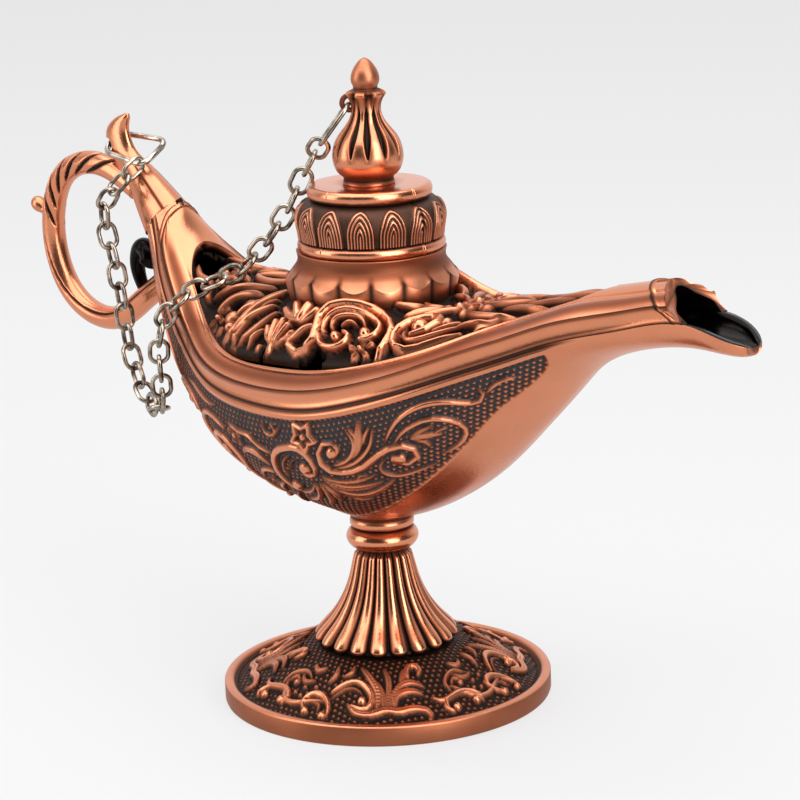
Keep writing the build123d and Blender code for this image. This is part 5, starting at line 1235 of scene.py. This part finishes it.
drill = drill + drill_at[..., None] * ring_side
cutter = make_piece("eye_drill", drill, grid_faces(2, 40, ring_columns=True), smooth_copper,
                    "lamp", wear_and_shade=np.full((2, 40), 0.1),
                    caps=[list(range(39, -1, -1)), list(range(40, 80))])
cut = horn.modifiers.new("eye", "BOOLEAN")
cut.operation, cut.object, cut.solver = "DIFFERENCE", cutter, "EXACT"
drilled = bpy.data.meshes.new_from_object(
    horn.evaluated_get(bpy.context.evaluated_depsgraph_get()))
horn.modifiers.clear()
horn.data = drilled
bpy.data.objects.remove(cutter)


# The loop: a round bar that leaves the horn, swings behind the lamp and returns to the bowl's
# tail. A leaf is cut into its crown, and a line runs along its lower half.
LOOP_DEEP = 33.3


def behind_tail(*shares):
    """Points on the middle plane from shares of the loop's depth and of the hull's height."""
    return np.array([(-TAIL_REACH - LOOP_DEEP * x, 0.0, BASE_Z + TALL * z) for x, z in shares])


loop_line = smooth_line(behind_tail(
    (0.120, 1.033), (0.405, 1.100), (0.646, 1.105), (0.871, 1.042), (0.994, 0.900),
    (0.985, 0.733), (0.856, 0.600), (0.631, 0.527), (0.375, 0.530), (0.150, 0.605),
    (-0.150, 0.720)), 300)
loop_run = np.concatenate([[0], np.cumsum(np.linalg.norm(np.diff(loop_line, axis=0), axis=1))])
LOOP_SIDES, LOOP_RADIUS = 64, 2.65
loop_turn = np.linspace(0, 2 * np.pi, LOOP_SIDES, endpoint=False)[None]
# Place round the bar in millimetres from its outer side, folded so that both sides match.
about = (np.pi - np.minimum(loop_turn, 2 * np.pi - loop_turn)) * np.where(
    loop_turn > np.pi, 1, -1) * LOOP_RADIUS
along_loop = loop_run[:, None] + 0 * about
about = about + 0 * along_loop
about = np.where(np.abs(about) > np.pi * LOOP_RADIUS / 2,
                 np.sign(about) * np.pi * LOOP_RADIUS - about, about)
leaf_cuts = [strand([(start, 3.9), (start + 1.6, 2.0), (start + 4.6, -0.6), (start + 8.4, -2.6)],
                    0.55, 0.6, 0.4, 0.2) for start in (8.0, 12.6, 17.2, 21.8, 26.4, 31.0)]
leaf_cuts.append(strand([(42.0, 0.6), (56.0, -0.8), (72.0, -1.4), (86.0, -1.2), (98.0, -0.6)],
                        0.38, 0.42, 0.3))
cuts = raised(along_loop, about, leaf_cuts)
loop = tube("loop_bar", loop_line, LOOP_RADIUS, smooth_copper, "lamp", ["handle_loop"],
            sides=LOOP_SIDES, wear_and_shade=np.clip(0.86 - cuts * 2.2, 0.03, 1), relief=-cuts)


# The knob: a small bud on a stalk, cast on the back of the loop, where the thumb rests.
knob_out = np.array([-math.cos(math.radians(31)), 0, math.sin(math.radians(31))])
knob_root = behind_tail((0.994, 0.867))[0]
knob_profile = smooth_line([(1.9, 1.6), (1.35, 2.8), (1.15, 3.8), (1.45, 4.7), (1.72, 5.9),
                            (1.45, 7.1), (0.75, 7.8), (0.03, 7.95)], 48)
knob_turn = np.linspace(0, 2 * np.pi, 48, endpoint=False)[None]
knob_up = np.cross(knob_out, [0, 1.0, 0])
knob_points = knob_root + knob_profile[:, 1:, None] * knob_out + knob_profile[:, :1, None] * (
    np.cos(knob_turn)[..., None] * np.array([0, 1.0, 0]) + np.sin(knob_turn)[..., None] * knob_up)
knob = make_piece("thumb_knob", knob_points, grid_faces(48, 48, ring_columns=True),
                  smooth_copper, "lamp", wear_and_shade=np.full((48, 48), 0.8), stands_for=["loop_knob"],
                  caps=[list(range(47, -1, -1)), list(range(47 * 48, 48 * 48))])


# The volute: a small curl of bar between the loop's lower end and the tail, left black.
curl_line = smooth_line(behind_tail((0.080, 0.620), (0.150, 0.690), (0.165, 0.770),
                                    (0.100, 0.815), (0.040, 0.785), (0.060, 0.745)), 90)
curl_part = np.linspace(0, 1, 90)
curl_radius = (1.3 + 1.5 * curl_part ** 1.5) * np.sqrt(np.clip((1.0 - curl_part) / 0.06, 0.02, 1))
curl = tube("volute_curl", curl_line, curl_radius,
            black_and_cavity_shade, "lamp", ["handle_scroll"], sides=32)

# The split ring: nickel-plated wire bent to a long three-sided loop with round corners, and a
# hair's gap in its outer side. It hangs free in the horn's eye and carries the chain.
def nickel(name, tone, dark, gloss):
    """Plated wire with brown tarnish in patches, and scuffs that change its gloss."""
    finish = bpy.data.materials.new(name)
    finish.use_nodes = True
    nodes, links = finish.node_tree.nodes, finish.node_tree.links
    metal = nodes["Principled BSDF"]
    metal.inputs["Metallic"].default_value = 1.0
    where = nodes.new("ShaderNodeTexCoord")
    patches, scuffs = nodes.new("ShaderNodeTexNoise"), nodes.new("ShaderNodeTexNoise")
    patches.inputs["Scale"].default_value, patches.inputs["Detail"].default_value = 420, 4
    scuffs.inputs["Scale"].default_value, scuffs.inputs["Detail"].default_value = 1900, 3
    ramp = nodes.new("ShaderNodeValToRGB")
    ramp.color_ramp.elements[0].position, ramp.color_ramp.elements[0].color = 0.34, dark
    ramp.color_ramp.elements[1].position, ramp.color_ramp.elements[1].color = 0.60, tone
    spread = nodes.new("ShaderNodeMapRange")
    spread.inputs["To Min"].default_value, spread.inputs["To Max"].default_value = gloss, gloss + 0.16
    for noise in (patches, scuffs):
        links.new(where.outputs["Object"], noise.inputs["Vector"])
    links.new(patches.outputs["Fac"], ramp.inputs[0])
    links.new(ramp.outputs[0], metal.inputs["Base Color"])
    links.new(scuffs.outputs["Fac"], spread.inputs["Value"])
    links.new(spread.outputs["Result"], metal.inputs["Roughness"])
    return finish


ring_nickel = nickel("ring_nickel", (0.66, 0.60, 0.52, 1), (0.24, 0.19, 0.15, 1), 0.15)
chain_nickel = nickel("chain_nickel", (0.50, 0.43, 0.35, 1), (0.10, 0.075, 0.055, 1), 0.16)
RING_LONG, RING_NARROW, RING_WIDE, RING_BEND = 13.4, 6.4, 9.0, 3.1
corners = np.array([(RING_LONG, RING_WIDE / 2), (0, RING_NARROW / 2), (0, -RING_NARROW / 2),
                    (RING_LONG, -RING_WIDE / 2)])
bend_part = np.linspace(0, 1, 12)[:, None]
ring_flat = [np.array([[RING_LONG, RING_WIDE / 4 + 0.1]])]
for i in range(4):
    here = corners[i]
    before = corners[i - 1] if i else corners[3]
    after = corners[(i + 1) % 4]
    start = here + (before - here) / np.linalg.norm(before - here) * RING_BEND
    end = here + (after - here) / np.linalg.norm(after - here) * RING_BEND
    ring_flat.append((1 - bend_part) ** 2 * start + 2 * bend_part * (1 - bend_part) * here
                     + bend_part ** 2 * end)
ring_flat.append(np.array([[RING_LONG, RING_WIDE / 4 - 0.1]]))
ring_flat = np.concatenate(ring_flat)
ring_line = ring_start + ring_flat[:, :1] * ring_reach + ring_flat[:, 1:] * ring_side
ring = tube("split_ring_wire", ring_line, 0.66, ring_nickel, "ring", ["split_ring"], sides=20,
            sideways=np.cross(ring_reach, ring_side))


# The chain: thirty-three oval links of round wire, each turned a quarter about the last, and a
# longer link at the finial's eye. It falls from the ring, turns up and runs on to the lid.
LINK_PITCH, LINK_WIDE, LINK_WIRE = 4.6, 4.9, 1.0
END_PITCH, END_WIDE, LINK_SLACK = 9.0, 5.4, 0.1
BEND_POINTS, WIRE_SIDES = 14, 12
slope = math.radians(53)
end_way = eye_out * math.cos(slope) - np.array([0, 0, math.sin(slope)])
end_top = eye_centre + end_way * (EYE_RADIUS - EYE_WIRE - LINK_SLACK)
end_tip = end_top + end_way * END_PITCH
sag = np.array([
    (-1.042, -0.278, 1.056), (-1.084, -0.288, 0.996), (-1.096, -0.275, 0.933),
    (-1.080, -0.258, 0.833), (-1.062, -0.240, 0.708), (-1.042, -0.240, 0.583),
    (-1.023, -0.245, 0.462), (-0.980, -0.268, 0.370), (-0.914, -0.316, 0.297),
    (-0.836, -0.387, 0.270), (-0.767, -0.458, 0.313), (-0.740, -0.510, 0.392),
    (-0.715, -0.568, 0.492), (-0.684, -0.612, 0.602), (-0.636, -0.570, 0.710),
    (-0.570, -0.480, 0.769), (-0.516, -0.414, 0.797), (-0.460, -0.372, 0.820)])
climb = np.array([
    (-1.795, -0.680, -0.390), (-1.575, -0.608, -0.140), (-1.360, -0.545, 0.155),
    (-1.140, -0.480, 0.493), (-0.920, -0.410, 0.963), (-0.703, -0.358, 1.375)])
sag_points = sag * [TAIL_REACH, HALF_BEAM, TALL] + [0, 0, BASE_Z]
climb_points = climb * [15.1, 15.1, 110.5 - 96.88] + [0, 0, 96.88]
HOOK_SHARE = 0.88
hook = ring_start + HOOK_SHARE * RING_LONG * ring_reach - (
    RING_NARROW + HOOK_SHARE * (RING_WIDE - RING_NARROW)) / 2 * ring_side
hook_way = hook - sag_points[0]
chain_route = np.concatenate([[hook + hook_way / np.linalg.norm(hook_way) * 0.6], sag_points,
                              climb_points, [end_tip]])
LINKS = 33
stops = smooth_line(chain_route, LINKS + 1)


def link_wire(pitch, wide):
    """The centre line of an oval link in its own plane: two straights and two half circles."""
    bend = (wide - LINK_WIRE) / 2
    straight = (pitch + LINK_SLACK + LINK_WIRE) / 2 - bend
    turn = np.linspace(-np.pi / 2, np.pi / 2, BEND_POINTS)
    one = np.stack([straight + bend * np.cos(turn), bend * np.sin(turn)], -1)
    return np.concatenate([one, -one])


def link_points(pitch, wide, middle, way, flat):
    """A link in space: its centre line in the plane of way and flat, and round wire about it."""
    line = link_wire(pitch, wide)
    ahead = np.roll(line, -1, 0) - np.roll(line, 1, 0)
    ahead /= np.linalg.norm(ahead, axis=1, keepdims=True)
    outward = np.stack([ahead[:, 1], -ahead[:, 0]], -1)
    turn = np.linspace(0, 2 * np.pi, WIRE_SIDES, endpoint=False)
    in_plane = line[:, None] + LINK_WIRE / 2 * np.cos(turn)[None, :, None] * outward[:, None]
    lift = LINK_WIRE / 2 * np.sin(turn)[None, :, None] + 0 * in_plane[..., :1]
    third = np.cross(way, flat)
    return middle + in_plane[..., :1] * way + in_plane[..., 1:] * flat + lift * third


ways = np.diff(stops, axis=0)
ways /= np.linalg.norm(ways, axis=1, keepdims=True)
across = np.cross(ways[0], ring_reach)
carried = []
for way in ways:
    across = across - way * (across @ way)
    across /= np.linalg.norm(across)
    carried.append(across)
target = np.cross(ways[-1], np.cross(eye_out, [0, 0, 1.0]))
twist = math.atan2(np.cross(ways[-1], across) @ target, across @ target)
twist = (twist + math.pi / 2) % math.pi - math.pi / 2
links_all = []
for i in range(LINKS):
    angle = twist * i / (LINKS - 1) + (i % 2) * math.pi / 2
    flat = carried[i] * math.cos(angle) + np.cross(ways[i], carried[i]) * math.sin(angle)
    links_all.append(link_points(LINK_PITCH, LINK_WIDE, (stops[i] + stops[i + 1]) / 2, ways[i],
                                 flat))
link_faces = grid_faces(2 * BEND_POINTS, WIRE_SIDES, True, True)
link_size = 2 * BEND_POINTS * WIRE_SIDES
for name, first, last in (("chain_fall", 0, 11), ("chain_rise", 11, 22), ("chain_span", 22, 33)):
    points = np.stack(links_all[first:last])
    faces = (link_faces + link_size * np.arange(last - first)[:, None, None]).reshape(-1, 4)
    piece = make_piece(name + "_links", points, faces, chain_nickel, None, stands_for=[name])
    if name == "chain_fall":
        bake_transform(piece)
    else:
        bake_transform(piece)
last_link = make_piece("end_link_wire", link_points(
    END_PITCH, END_WIDE, (end_top + end_tip) / 2, end_way, np.cross(eye_out, [0, 0, 1.0])),
    link_faces, chain_nickel, "lid", stands_for=["end_link"])
